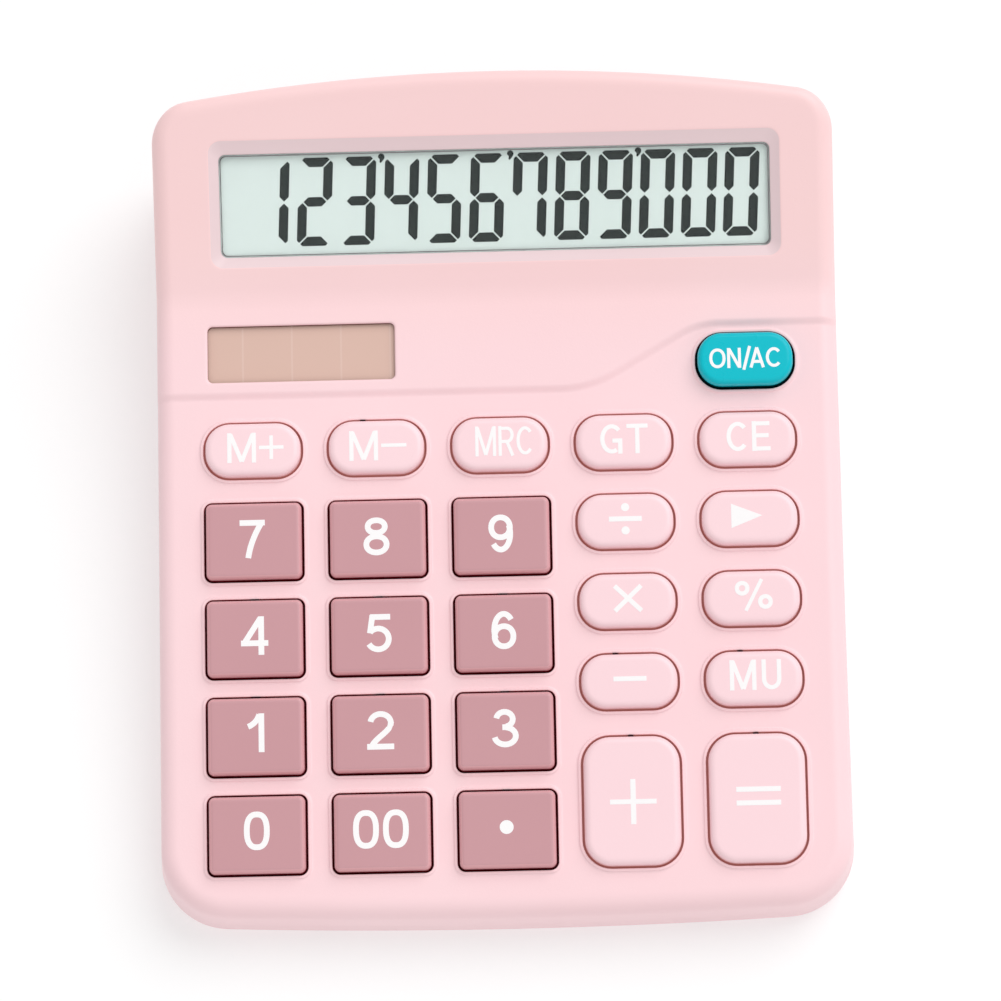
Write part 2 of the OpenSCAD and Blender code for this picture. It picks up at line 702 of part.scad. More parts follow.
module circuit_board() color([0.62, 0.50, 0.28]) {
    on_deck() difference() {
        block(-board_half_w, board_half_w, board_v0, board_v1, board_bottom_w, board_top_w);
        for (p = BOARD_SCREWS)
            translate([p[0], p[1], 0]) post(board_screw_r + 0.2, board_bottom_w - 1, board_top_w + 1);
    }
}

pad_t = 0.08;

module contact_pads() color([0.15, 0.15, 0.16]) {
    pad_r = dome_r - 1.1;
    for (k = KEYS)
        at_key(k) difference() {
            post(pad_r, board_top_w, board_top_w + pad_t);
            block(-pad_r, pad_r, -0.2, 0.2, board_top_w - 1, board_top_w + 1);
        }
}

chip_r = 6.5;
chip_h = 1.6;

module chip_cover() color([0.08, 0.08, 0.08]) {
    on_deck() translate([0, function_first_v + 1.5 * function_pitch, board_bottom_w]) rotate_extrude()
        polygon(concat([[0, 0]], [for (i = [0:6]) [chip_r * cos(15 * i), -chip_h * sin(15 * i)]]));
}

module board_capacitor() color([0.15, 0.2, 0.35]) {
    can_r = 2.5;
    can_l = 6.5;
    on_deck() translate([key_x(KEYS[0]) - 25, board_v1 - 15, board_bottom_w]) difference() {
        post(can_r, -can_l, 0);
        translate([0, 0, -1.6]) rotate_extrude() translate([can_r + 0.2, 0]) circle(0.5);
    }
}

module board_resistors() color([0.12, 0.12, 0.12]) {
    l = 2;
    w = 1.2;
    x = key_x(KEYS[0]) - 19;
    v = board_v1 - 21;
    for (i = [0:3])
        on_deck() block(x + 2 * i * l, x + (2 * i + 1) * l, v, v + w, board_bottom_w - 0.5, board_bottom_w);
}

// A dome's half section: the button, its thin slanted skirt and the ring that joins the sheet.
dome_section = [
    [0, dome_top_w], [button_r, dome_top_w], [button_r, dome_top_w - 0.65], [dome_r, sheet_top_w - 0.1],
    [dome_r, board_top_w], [dome_r - 0.7, board_top_w], [dome_r - 0.7, board_top_w + 0.5],
    [button_r - 0.4, dome_top_w - 1.05], [button_r - 0.7, dome_top_w - 1.05],
    [button_r - 0.7, button_bottom_w], [0, button_bottom_w]
];

module keypad_mat() color([0.90, 0.90, 0.88]) {
    power = KEYS[0];
    on_deck() difference() {
        union() {
            block(-mat_half_w, mat_half_w, board_v0 + 0.3, mat_v1, board_top_w, sheet_top_w);
            block(key_x(power) - 9, mat_half_w, mat_v1 - 1, key_v(power) + 5.5, board_top_w, sheet_top_w);
        }
        for (k = KEYS) translate([key_x(k), key_v(k), 0]) post(dome_r - 0.3, board_top_w - 1, sheet_top_w + 1);
        for (p = BOARD_SCREWS) translate([p[0], p[1], 0]) post(boss_r + 0.3, board_top_w - 1, sheet_top_w + 1);
    }
    for (k = KEYS) at_key(k) rotate_extrude() polygon(dome_section);
}

module carbon_pills() color([0.1, 0.1, 0.1]) {
    for (k = KEYS) at_key(k) post(button_r - 0.8, pill_bottom_w, button_bottom_w);
}

// A pan-head screw pointing up, its head's underside at z = 0.
module screw(r, l, head_r, head_t) {
    difference() {
        union() {
            post(r, -0.1, l);
            post(head_r, -head_t, 0);
        }
        for (a = [0, 90]) rotate([0, 0, a]) block(-head_r * 0.6, head_r * 0.6, -0.2, 0.2, -head_t - 1, -head_t * 0.5);
    }
}

module board_screws() color(steel) {
    for (p = BOARD_SCREWS)
        on_deck() translate([p[0], p[1], board_bottom_w])
            screw(board_screw_r, -wall / 2 - 0.8 - board_bottom_w, screw_head_r, screw_head_t);
    for (p = HOLDER_SCREWS)
        on_face() translate([p[0], p[1], holder_top_n - holder_t])
            screw(board_screw_r, holder_t + 1.8, screw_head_r, screw_head_t);
}

module case_screws() color(steel) {
    for (p = CASE_SCREWS)
        translate([p[0], p[1], case_head_z])
            screw(case_screw_r, p[2] + case_screw_bite - case_head_z, case_head_r, case_head_t);
}

module aa_battery() color([0.45, 0.47, 0.5]) {
    r = cell_dia / 2;
    translate([cell_x1 - cell_l, cell_y, cell_z]) rotate([90, 0, 90]) rotate_extrude()
        polygon([[0, 0], [r - 1.2, 0], [r - 1.2, 0.2], [r - 0.5, 0.2], [r, 0.7], [r, cell_l - 1.9],
                 [r - 0.5, cell_l - 1.4], [2.75, cell_l - 1.4], [2.75, cell_l - 0.2], [2.55, cell_l], [0, cell_l]]);
}

// A conical coil from the contact plate to the cell's flat end.
module battery_spring() color(steel) {
    coil_wire = 0.35;
    turns = 3;
    x0 = -bay_half_l + 0.1 + contact_t + coil_wire + slack;
    x1 = cell_x1 - cell_l - coil_wire - slack;
    tube([for (i = [0:turns * 12]) let (t = i / (turns * 12), r = mix(5, 3, t))
        [mix(x0, x1, t), cell_y + r * cos(360 * turns * t), cell_z + r * sin(360 * turns * t)]], coil_wire, 6);
}

module battery_contacts() color(steel) {
    for (x = [-1, 1])
        block(x * (bay_half_l - 0.1 - contact_t / 2) - contact_t / 2, x * (bay_half_l - 0.1 - contact_t / 2) + contact_t / 2,
              cell_y - bay_half_d + 0.5, cell_y + bay_half_d - 0.5,
              cell_z - cell_dia / 2 + 2.25, cell_z + cell_dia / 2 - 1.25);
}

module battery_wire(side) {
    x = side * (bay_half_l - 1.3);
    z = cell_z + wire_rise;
    y = cell_y - bay_half_d + 1.5;
    end_x = side * (bay_half_l - wire_inset);
    end = deck_point(board_v1 - wire_drop, board_bottom_w - wire_r / 4);
    below = deck_point(board_v1 - wire_drop, board_bottom_w - 1.25 * wire_drop);
    out = [x, y - wire_drop, z];
    tube(concat(
        [[x, y, z]],
        smooth(out, out + [0, -1.25 * wire_drop, 0], [end_x, below[0], below[1]], [end_x, end[0], end[1]], 10)), wire_r);
}

module battery_wire_red() color("firebrick") {
    battery_wire(1);
}

module battery_wire_black() color([0.1, 0.1, 0.1]) {
    battery_wire(-1);
}

module foot(f) color([0.75, 0.72, 0.72]) {
    translate([f[1] * foot_x, f[2] < 0 ? foot_front_y : foot_rear_y, 0]) rotate_extrude()
        polygon([[0, 0], [foot_r - 0.5, 0], [foot_r, 0.5], [foot_r, foot_h + foot_sink], [0, foot_h + foot_sink]]);
}

// Rounded rectangle as points, n to a corner.
function ring_points(w, d, r, z, n) = [
    for (c = [0:3], i = [0:n])
    let (a = 90 * (c + i / n), sx = c == 0 || c == 3 ? 1 : -1, sy = c < 2 ? 1 : -1)
    [sx * (w / 2 - r) + r * cos(a), sy * (d / 2 - r) + r * sin(a), z]
];

// A hollow key: crowned cap, flange that stops it under the deck, and a plunger over its dome.
module key(k) {
    square_key = k[2] == "number";
    tint = square_key ? rose : k[2] == "power" ? teal : pink;
    top = key_top(k);
    // Each step of the cap's edge is [inset, drop below the top].
    edge = square_key ? [[0.15, 1], [0.3, 0.3], [0.7, 0]] : [[0.15, 1.3], [0.5, 0.55], [1.1, 0.15], [2, 0]];
    n = square_key ? 3 : 5;
    shell = 1.1;
    color(tint) at_key(k) {
        difference() {
            union() {
                loft(concat(
                    [ring_points(key_w, key_d(k), key_r(k), flange_bottom_w + 0.2, n)],
                    [for (e = edge) ring_points(key_w - 2 * e[0], key_d(k) - 2 * e[0], max(key_r(k) - e[0], 0.4),
                                                top - e[1], n)]));
                translate([0, 0, flange_bottom_w]) linear_extrude(flange_t) key_shape(k, flange_w);
            }
            translate([0, 0, flange_bottom_w - 1]) linear_extrude(top - shell - flange_bottom_w + 1)
                slab(key_w - 2 * shell, key_d(k) - 2 * shell, max(key_r(k) - shell, 0.5));
        }
        post(2, plunger_w, top - shell + 0.2);
        rib = function_key_d / 2 - shell + 0.1;
        for (a = [0, 90]) rotate([0, 0, a])
            block(-rib, rib, -0.5, 0.5, flange_bottom_w + 0.6, top - shell + 0.2);
    }
}

top_case();
bottom_case();
battery_door();
display_window();
lcd_panel();
lcd_reflector();
lcd_holder();
lcd_ribbon();
solar_cell();
solar_wire_red();
solar_wire_black();
circuit_board();
contact_pads();
chip_cover();
board_capacitor();
board_resistors();
keypad_mat();
carbon_pills();
board_screws();
case_screws();
aa_battery();
battery_spring();
battery_contacts();
battery_wire_red();
battery_wire_black();
for (f = FEET) foot(f);
for (k = KEYS) key(k);
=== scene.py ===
import math

import bmesh
import bpy
import numpy as np
from mathutils import Matrix, Vector
from mathutils.geometry import delaunay_2d_cdt


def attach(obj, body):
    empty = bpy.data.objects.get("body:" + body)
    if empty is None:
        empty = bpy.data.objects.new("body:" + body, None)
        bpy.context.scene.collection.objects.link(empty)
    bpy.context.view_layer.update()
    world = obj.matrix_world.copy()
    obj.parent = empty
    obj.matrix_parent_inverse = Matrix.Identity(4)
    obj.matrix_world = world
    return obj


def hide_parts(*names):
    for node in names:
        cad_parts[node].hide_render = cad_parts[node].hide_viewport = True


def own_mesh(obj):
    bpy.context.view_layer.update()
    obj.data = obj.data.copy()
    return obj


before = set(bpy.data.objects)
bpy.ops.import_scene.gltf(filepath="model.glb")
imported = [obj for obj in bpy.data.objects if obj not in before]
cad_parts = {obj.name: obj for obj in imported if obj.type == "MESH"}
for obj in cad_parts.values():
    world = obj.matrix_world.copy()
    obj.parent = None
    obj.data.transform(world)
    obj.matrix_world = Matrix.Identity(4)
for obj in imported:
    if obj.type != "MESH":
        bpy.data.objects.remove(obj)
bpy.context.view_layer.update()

mm = 0.001               # every shape below is worked out in millimetres
print("frame loaded,", len(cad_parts), "nodes")


# Case: the sizes that every other piece is set against.

case = {
    "width": 120, "depth": 146, "deckFront": 12.5, "deckSlope": 6, "faceSlope": 23,
    "creaseUp": 109.4, "creaseRadius": 12, "wall": 2, "rimRadius": 3.05, "sideDraft": 0.5,
    "frontCorner": 12, "rearCorner": 7.5, "frontBow": 1100, "rearBow": 380,
    "jointLine": 4, "footHeight": 1.4,
}
step = {
    "height": 0.6, "leftUp": 92.32, "rightUp": 103.4, "lowX": 16.3, "highX": 35.3,
    "lowRadius": 20, "highRadius": 13, "rampWidth": 1.3,
}
keypad = {
    "columnPitch": 21.5, "middleX": 0.3, "keyWidth": 16.7, "travelGap": 0.35,
    "numberDepth": 13.4, "numberRadius": 1.1, "numberPitch": 17.1, "numberFirst": 15.1,
    "functionDepth": 9.5, "functionRadius": 4.3, "functionPitch": 14.05, "functionFirst": 40.4,
    "tallDepth": 22.4, "tallRadius": 4.7,
}
# Each key: name, column, kind, row from the front for its kind, and its legend.
keyList = [
    ("on", 4, "power", 4, "ON/AC"),
    ("m_plus", 0, "function", 3, "M+"), ("m_minus", 1, "function", 3, "M-"), ("mrc", 2, "function", 3, "MRC"),
    ("gt", 3, "function", 3, "GT"), ("ce", 4, "function", 3, "CE"),
    ("divide", 3, "function", 2, "divide"), ("backspace", 4, "function", 2, "arrow"),
    ("multiply", 3, "function", 1, "times"), ("percent", 4, "function", 1, "percent"),
    ("minus", 3, "function", 0, "minus"), ("mu", 4, "function", 0, "MU"),
    ("7", 0, "number", 3, "7"), ("8", 1, "number", 3, "8"), ("9", 2, "number", 3, "9"),
    ("4", 0, "number", 2, "4"), ("5", 1, "number", 2, "5"), ("6", 2, "number", 2, "6"),
    ("1", 0, "number", 1, "1"), ("2", 1, "number", 1, "2"), ("3", 2, "number", 1, "3"),
    ("0", 0, "number", 0, "0"), ("00", 1, "number", 0, "00"), ("point", 2, "number", 0, "point"),
    ("plus", 3, "tall", 0, "plus"), ("equals", 4, "tall", 0, "equals"),
]

sinDeck, cosDeck = math.sin(math.radians(case["deckSlope"])), math.cos(math.radians(case["deckSlope"]))
sinFace, cosFace = math.sin(math.radians(case["faceSlope"])), math.cos(math.radians(case["faceSlope"]))
tanDeck, tanFace = sinDeck / cosDeck, sinFace / cosFace
frontY, rearY = -case["depth"] / 2, case["depth"] / 2
deckLevel = case["deckFront"] - frontY * tanDeck
creaseY = frontY + case["creaseUp"] * cosDeck
creaseZ = deckLevel + creaseY * tanDeck + step["height"] / cosDeck
faceLevel = creaseZ - creaseY * tanFace


def onDeck(x, v, w):
    # A point x across, v up the keypad deck from its front edge and w out of the deck.
    x, v, w = np.broadcast_arrays(*(np.asarray(a, float) for a in (x, v, w)))
    y, z = frontY + v * cosDeck - w * sinDeck, case["deckFront"] + v * sinDeck + w * cosDeck
    return np.stack([x, y, z], -1)


def onFace(x, s, n):
    # A point x across, s up the display face from the crease and n out of the face.
    x, s, n = np.broadcast_arrays(*(np.asarray(a, float) for a in (x, s, n)))
    return np.stack([x, creaseY + s * cosFace - n * sinFace, creaseZ + s * sinFace + n * cosFace], -1)


def stepLine():
    # The step's path on the deck: level, a bend, a slant, a bend back and level again, as x, v and slope.
    rise = step["rightUp"] - step["leftUp"]
    slant = math.atan2(rise, step["highX"] - step["lowX"])
    turn = np.linspace(0, slant, 16)
    r0, r1 = step["lowRadius"], step["highRadius"]
    lowX = step["lowX"] - r0 * math.tan(slant / 2) + r0 * np.sin(turn)
    lowV = step["leftUp"] + r0 * (1 - np.cos(turn))
    highX = step["highX"] + r1 * math.tan(slant / 2) - r1 * np.sin(turn[::-1])
    highV = step["rightUp"] - r1 * (1 - np.cos(turn[::-1]))
    side = case["width"] / 2 + 5
    x = np.concatenate([[-side], lowX, highX, [side]])
    v = np.concatenate([[step["leftUp"]], lowV, highV, [step["rightUp"]]])
    slope = np.tan(np.concatenate([[0], turn, turn[::-1], [0]]))
    return x, v, slope


stepX, stepV, stepSlope = stepLine()


def stepLift(x, y):
    # The raised band's height over the deck: an S-shaped ramp across the step's path.
    v = (y - frontY) / cosDeck
    slope = np.interp(x, stepX, stepSlope)
    across = (v - np.interp(x, stepX, stepV)) / np.sqrt(1 + slope ** 2)
    t = np.clip(across / step["rampWidth"] + 0.5, 0, 1)
    return step["height"] * (0.25 * t + 0.75 * t * t * (3 - 2 * t))


def slopesHeight(y, deckLift, faceLift, radius, creaseLift):
    # Height of the two slopes at y, joined by an arc of that radius in the crease.
    slopeDeck, slopeFace = math.radians(case["deckSlope"]), math.radians(case["faceSlope"])
    deckZ = deckLevel + y * tanDeck + deckLift / cosDeck
    faceZ = faceLevel + y * tanFace + faceLift / cosFace
    crossY = (deckLevel + creaseLift / cosDeck - faceLevel - faceLift / cosFace) / (tanFace - tanDeck)
    crossZ = deckLevel + crossY * tanDeck + creaseLift / cosDeck
    reach = radius / math.cos((slopeFace - slopeDeck) / 2)
    middle = (slopeFace + slopeDeck) / 2
    arcY, arcZ = crossY - reach * math.sin(middle), crossZ + reach * math.cos(middle)
    bowl = arcZ - np.sqrt(np.maximum(radius ** 2 - (y - arcY) ** 2, 0))
    return np.where(y <= arcY + radius * sinDeck, deckZ, np.where(y >= arcY + radius * sinFace, faceZ, bowl))


def outerHeight(x, y):
    # The case's outside: the deck with its raised band, and the display face.
    return slopesHeight(y, stepLift(x, y), 0, case["creaseRadius"], step["height"])


def innerHeight(x, y):
    # The case's inside: both slopes moved down by the wall.
    wall = case["wall"]
    return slopesHeight(y, -wall, -wall, case["creaseRadius"] + wall, -wall)


def arcWithNormals(cx, cy, r, a0, a1, n):
    # Points of an arc about a centre, each with the way it faces.
    a = np.linspace(a0, a1, n + 1)
    return np.stack([cx + r * np.cos(a), cy + r * np.sin(a), np.cos(a), np.sin(a)], -1)


def halfOutline(stepUp):
    # Right half of the case's plan outline with its normals: bowed front, corner, straight side, corner and
    # bowed rear, as arcs that run on into each other. The side has more points by the step and the crease.
    halfW = case["width"] / 2
    rf, rr, bf, br = case["frontCorner"], case["rearCorner"], case["frontBow"], case["rearBow"]
    frontMid, rearMid = frontY + bf, rearY - br
    frontCornerY = frontMid - math.sqrt((bf - rf) ** 2 - (halfW - rf) ** 2)
    rearCornerY = rearMid + math.sqrt((br - rr) ** 2 - (halfW - rr) ** 2)
    frontA = math.atan2(frontCornerY - frontMid, halfW - rf)
    rearA = math.atan2(rearCornerY - rearMid, halfW - rr)
    stepY = frontY + stepUp * cosDeck
    sideY = np.concatenate([
        np.linspace(frontCornerY, stepY - 1.2, 40), np.linspace(stepY - 1, stepY + 1, 15),
        np.linspace(stepY + 1.2, creaseY - 3, 6), np.linspace(creaseY - 2.6, creaseY + 2.6, 15),
        np.linspace(creaseY + 3, rearCornerY, 16)])
    side = np.stack([np.full_like(sideY, halfW), sideY, np.ones_like(sideY), np.zeros_like(sideY)], -1)
    parts = [
        arcWithNormals(0, frontMid, bf, -math.pi / 2, frontA, 28),
        arcWithNormals(halfW - rf, frontCornerY, rf, frontA, 0, 24)[1:],
        side[1:-1],
        arcWithNormals(halfW - rr, rearCornerY, rr, 0, rearA, 24),
        arcWithNormals(0, rearMid, br, rearA, math.pi / 2, 28)[1:],
    ]
    return np.concatenate(parts)


rightHalf, leftHalf = halfOutline(step["rightUp"]), halfOutline(step["leftUp"])
outline = np.concatenate([rightHalf, (leftHalf * [-1, 1, -1, 1])[-2:0:-1]])


def outlineRing(inset, z):
    # The plan outline moved in by inset, at height z, which may be a function of x and y.
    xy = outline[:, :2] - inset * outline[:, 2:]
    height = z(xy[:, 0], xy[:, 1]) if callable(z) else np.full(len(xy), float(z))
    return np.column_stack([xy, height])


# Mesh helpers.

def bands(rings):
    # Quads between each ring and the next; every ring is a closed loop of the same number of points.
    rings = np.asarray(rings, float)
    m, n = rings.shape[:2]
    j, i = np.meshgrid(np.arange(m - 1), np.arange(n), indexing="ij")
    a, b = j * n + i, j * n + (i + 1) % n
    return rings.reshape(-1, 3), np.stack([a, b, b + n, a + n], -1).reshape(-1, 4)


def closeTo(ring, point, steps=1):
    # Rings that shrink from a loop to a single point.
    t = np.linspace(0, 1, steps + 1)[:, None, None]
    return ring[None] * (1 - t) + np.asarray(point, float) * t


def insideLoop(points, loop):
    # Even-odd test of many points against one closed loop, in blocks so that memory stays small.
    result = np.zeros(len(points), bool)
    ax, ay = loop[:, 0], loop[:, 1]
    bx, by = np.roll(ax, -1), np.roll(ay, -1)
    for start in range(0, len(points), 4000):
        px, py = points[start:start + 4000, :1], points[start:start + 4000, 1:2]
        crosses = (ay > py) != (by > py)
        with np.errstate(divide="ignore", invalid="ignore"):
            at = ax + (py - ay) / (by - ay) * (bx - ax)
        result[start:start + 4000] = (np.count_nonzero(crosses & (px < at), axis=1) % 2) == 1
    return result


def fillSheet(outer, holes, rows, height):
    # Triangles over the region inside one loop and outside the holes, passing through every row of points,
    # with each point's height from a function of x and y.
    points, edges = [], []
    for path, closed in [(outer, True)] + [(hole, True) for hole in holes] + [(row, False) for row in rows]:
        first, count = len(points), len(path)
        points += [Vector(p) for p in path[:, :2].tolist()]
        edges += [(first + i, first + (i + 1) % count) for i in range(count if closed else count - 1)]
    found = delaunay_2d_cdt(points, edges, [], 0, 1e-5)
    xy = np.array([tuple(p) for p in found[0]])
    triangles = np.array(found[2])
    middle = xy[triangles].mean(1)
    keep = insideLoop(middle, outer[:, :2])
    for hole in holes:
        low, high = hole[:, :2].min(0), hole[:, :2].max(0)
        near = keep & ((middle > low) & (middle < high)).all(1)
        at = np.flatnonzero(near)
        keep[at[insideLoop(middle[at], hole[:, :2])]] = False
    return np.column_stack([xy, height(xy[:, 0], xy[:, 1])]), triangles[keep]


def roundedLoop(width, depth, radius, perCorner):
    # Rounded rectangle about the origin, anticlockwise, as x and v.
    a = np.radians(90 * (np.arange(4)[:, None] + np.linspace(0, 1, perCorner + 1)[None]))
    sx, sy = np.array([1, -1, -1, 1])[:, None], np.array([1, 1, -1, -1])[:, None]
    x = sx * (width / 2 - radius) + radius * np.cos(a)
    y = sy * (depth / 2 - radius) + radius * np.sin(a)
    return np.stack([x.ravel(), y.ravel()], -1)


def lathe(profile, place, sides=32):
    # Rings of a profile of radius and height turned about an axis; place sets them in the case.
    a = np.linspace(0, 2 * math.pi, sides, endpoint=False)
    r, h = np.array(profile, float).T
    return place(r[:, None] * np.cos(a), r[:, None] * np.sin(a), h[:, None] + 0 * a)


def makePiece(name, parts, material, sharpAngle=35, body="case", stands=()):
    # Joins the parts, given in millimetres, into one mesh object that rides on a body.
    # A part is points and faces, with a third entry where its faces take another material.
    verts, faces, finish, materials, first = [], [], [], [material], 0
    for points, quads, *other in parts:
        chosen = other[0] if other else material
        if chosen not in materials:
            materials.append(chosen)
        verts.append(points)
        faces += (np.asarray(quads) + first).tolist()
        finish += [materials.index(chosen)] * len(quads)
        first += len(points)
    mesh = bpy.data.meshes.new(name)
    mesh.from_pydata((np.concatenate(verts) * mm).tolist(), [], faces)
    for each in materials:
        mesh.materials.append(each)
    mesh.polygons.foreach_set("material_index", finish)
    tidyMesh(mesh)
    mesh.shade_smooth()
    mesh.set_sharp_from_angle(angle=math.radians(sharpAngle))
    piece = bpy.data.objects.new(name, mesh)
    bpy.context.scene.collection.objects.link(piece)
    settle(piece, body, stands)
    return piece


def settle(piece, body, stands):
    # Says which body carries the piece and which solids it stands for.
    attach(piece, body)
    if stands:
        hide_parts(*stands)


def tidyMesh(mesh):
    # Merges doubles, drops faces that closed up, and turns every normal outwards.
    work = bmesh.new()
    work.from_mesh(mesh)
    bmesh.ops.remove_doubles(work, verts=work.verts, dist=0.002 * mm)
    bmesh.ops.dissolve_degenerate(work, edges=work.edges, dist=0.0005 * mm)
    bmesh.ops.recalc_face_normals(work, faces=work.faces)
    work.to_mesh(mesh)
    work.free()


# Materials.

def newGroup(name, inputs, outputs):
    # An empty node group with named sockets: inputs are label, kind and value; outputs are label and kind.
    group = bpy.data.node_groups.new(name, "ShaderNodeTree")
    for label, kind, value in inputs:
        group.interface.new_socket(label, in_out="INPUT", socket_type=kind).default_value = value
    for label, kind in outputs:
        group.interface.new_socket(label, in_out="OUTPUT", socket_type=kind)
    return group, group.nodes.new("NodeGroupInput"), group.nodes.new("NodeGroupOutput")


def addNode(tree, kind, links=(), **settings):
    # Adds a node; plain settings are its properties, and links feed its inputs with sockets or values.
    node = tree.nodes.new(kind)
    for label, value in settings.items():
        setattr(node, label, value)
    for label, value in links:
        if isinstance(value, bpy.types.NodeSocket):
            tree.links.new(value, node.inputs[label])
        else:
            node.inputs[label].default_value = value
    return node


def objectCoords(tree):
    # Each point's own place on the piece, in metres.
    return tree.nodes.new("ShaderNodeTexCoord").outputs["Object"]


def buildMouldGrain():
    # Fine spark-eroded grain of a moulded face, with a slower unevenness under it, as a height from 0 to 1.
    group, inputs, outputs = newGroup(
        "mouldGrain",
        [("Grain Scale", "NodeSocketFloat", 2600.0), ("Swell Scale", "NodeSocketFloat", 90.0),
         ("Swell", "NodeSocketFloat", 0.3)],
        [("Height", "NodeSocketFloat")])
    where = objectCoords(group)
    fine = addNode(group, "ShaderNodeTexNoise",
                   [("Vector", where), ("Scale", inputs.outputs["Grain Scale"]), ("Detail", 2.0)])
    slow = addNode(group, "ShaderNodeTexNoise",
                   [("Vector", where), ("Scale", inputs.outputs["Swell Scale"]), ("Detail", 1.0)])
    both = addNode(group, "ShaderNodeMix",
                   [("Factor", inputs.outputs["Swell"]), ("A", fine.outputs[0]), ("B", slow.outputs[0])],
                   data_type="FLOAT")
    group.links.new(both.outputs[0], outputs.inputs["Height"])
    return group


def buildToneDrift():
    # A slow drift of a plastic's tone between a lighter and a darker mix of its colour.
    group, inputs, outputs = newGroup(
        "toneDrift",
        [("Colour", "NodeSocketColor", (1, 1, 1, 1)), ("Shade", "NodeSocketColor", (1, 1, 1, 1)),
         ("Scale", "NodeSocketFloat", 18.0), ("Amount", "NodeSocketFloat", 0.5)],
        [("Colour", "NodeSocketColor")])
    noise = addNode(group, "ShaderNodeTexNoise",
                    [("Vector", objectCoords(group)), ("Scale", inputs.outputs["Scale"]), ("Detail", 3.0)])
    spread = addNode(group, "ShaderNodeMapRange",
                     [("Value", noise.outputs[0]), ("From Min", 0.3), ("From Max", 0.7),
                      ("To Max", inputs.outputs["Amount"])])
    mixed = addNode(group, "ShaderNodeMix", [("Factor", spread.outputs[0])], data_type="RGBA")
    group.links.new(inputs.outputs["Colour"], mixed.inputs[6])
    group.links.new(inputs.outputs["Shade"], mixed.inputs[7])
    group.links.new(mixed.outputs[2], outputs.inputs["Colour"])
    return group


def buildHandling():
    # Faint handling marks: patches where the finish is a little smoother or duller.
    group, inputs, outputs = newGroup(
        "handling",
        [("Roughness", "NodeSocketFloat", 0.4), ("Spread", "NodeSocketFloat", 0.08),
         ("Scale", "NodeSocketFloat", 60.0)],
        [("Roughness", "NodeSocketFloat")])
    noise = addNode(group, "ShaderNodeTexNoise",
                    [("Vector", objectCoords(group)), ("Scale", inputs.outputs["Scale"]), ("Detail", 4.0)])
    shift = addNode(group, "ShaderNodeMapRange",
                    [("Value", noise.outputs[0]), ("From Min", 0.25), ("From Max", 0.75), ("To Min", -1.0),
                     ("To Max", 1.0)])
    scaled = addNode(group, "ShaderNodeMath",
                     [(0, shift.outputs[0]), (1, inputs.outputs["Spread"]), (2, inputs.outputs["Roughness"])],
                     operation="MULTIPLY_ADD")
    group.links.new(scaled.outputs[0], outputs.inputs["Roughness"])
    return group


mouldGrain, toneDrift, handling = buildMouldGrain(), buildToneDrift(), buildHandling()


def linear(red, green, blue):
    # A colour picked on a screen, 0 to 255, as the linear values that shaders take.
    return tuple((c / 255 / 12.92 if c <= 10 else ((c / 255 + 0.055) / 1.055) ** 2.4)
                 for c in (red, green, blue)) + (1.0,)


def newMaterial(name):
    # A material with its node tree and its shader.
    material = bpy.data.materials.new(name)
    material.use_nodes = True
    return material, material.node_tree, material.node_tree.nodes["Principled BSDF"]


def driftingTone(tree, colour, shade, amount=0.5):
    # The colour with its slow drift towards the shade.
    links = [("Colour", linear(*colour)), ("Shade", linear(*shade)), ("Amount", amount)]
    return addNode(tree, "ShaderNodeGroup", links, node_tree=toneDrift).outputs["Colour"]


def addHandling(tree, shader, roughness, spread=0.08):
    # Feeds the shader's roughness with handling marks about one value.
    marks = addNode(tree, "ShaderNodeGroup", [("Roughness", roughness), ("Spread", spread)],
                    node_tree=handling)
    tree.links.new(marks.outputs["Roughness"], shader.inputs["Roughness"])


def plastic(name, colour, shade, roughness, grain=0.015, grainScale=2600, swell=0.3, **extra):
    # Moulded plastic or rubber: drifting tone, handling marks and a grain of the given depth in millimetres.
    material, tree, shader = newMaterial(name)
    tree.links.new(driftingTone(tree, colour, shade), shader.inputs["Base Color"])
    addHandling(tree, shader, roughness, 0.05)
    relief = addNode(tree, "ShaderNodeGroup", [("Grain Scale", grainScale), ("Swell", swell)],
                     node_tree=mouldGrain)
    bump = addNode(tree, "ShaderNodeBump", [("Height", relief.outputs["Height"]), ("Distance", grain * mm)])
    tree.links.new(bump.outputs["Normal"], shader.inputs["Normal"])
    for label, value in extra.items():
        shader.inputs[label.replace("_", " ")].default_value = value
    return material


# Painted warm reflection on the display face: how far before and after the crease it fades in, and its tint.
faceReflection = {"before": 14, "after": 12, "tint": (1, 0.98, 0.94, 1)}


def paintFaceReflection(material):
    # Past the crease the pink is multiplied by a warmer tint, by a smooth mask along the piece's depth: a
    # painted reflection, for the face is the same plastic as the deck.
    tree = material.node_tree
    shader = tree.nodes["Principled BSDF"]
    tone = shader.inputs["Base Color"].links[0].from_socket
    apart = addNode(tree, "ShaderNodeSeparateXYZ", [("Vector", objectCoords(tree))])
    mask = addNode(tree, "ShaderNodeMapRange",
                   [("Value", apart.outputs["Y"]), ("From Min", (creaseY - faceReflection["before"]) * mm),
                    ("From Max", (creaseY + faceReflection["after"]) * mm)],
                   interpolation_type="SMOOTHSTEP")
    mixed = addNode(tree, "ShaderNodeMix",
                    [("Factor", mask.outputs["Result"]), ("A", tone), ("B", faceReflection["tint"])],
                    data_type="RGBA", blend_type="MULTIPLY")
    tree.links.new(mixed.outputs["Result"], shader.inputs["Base Color"])


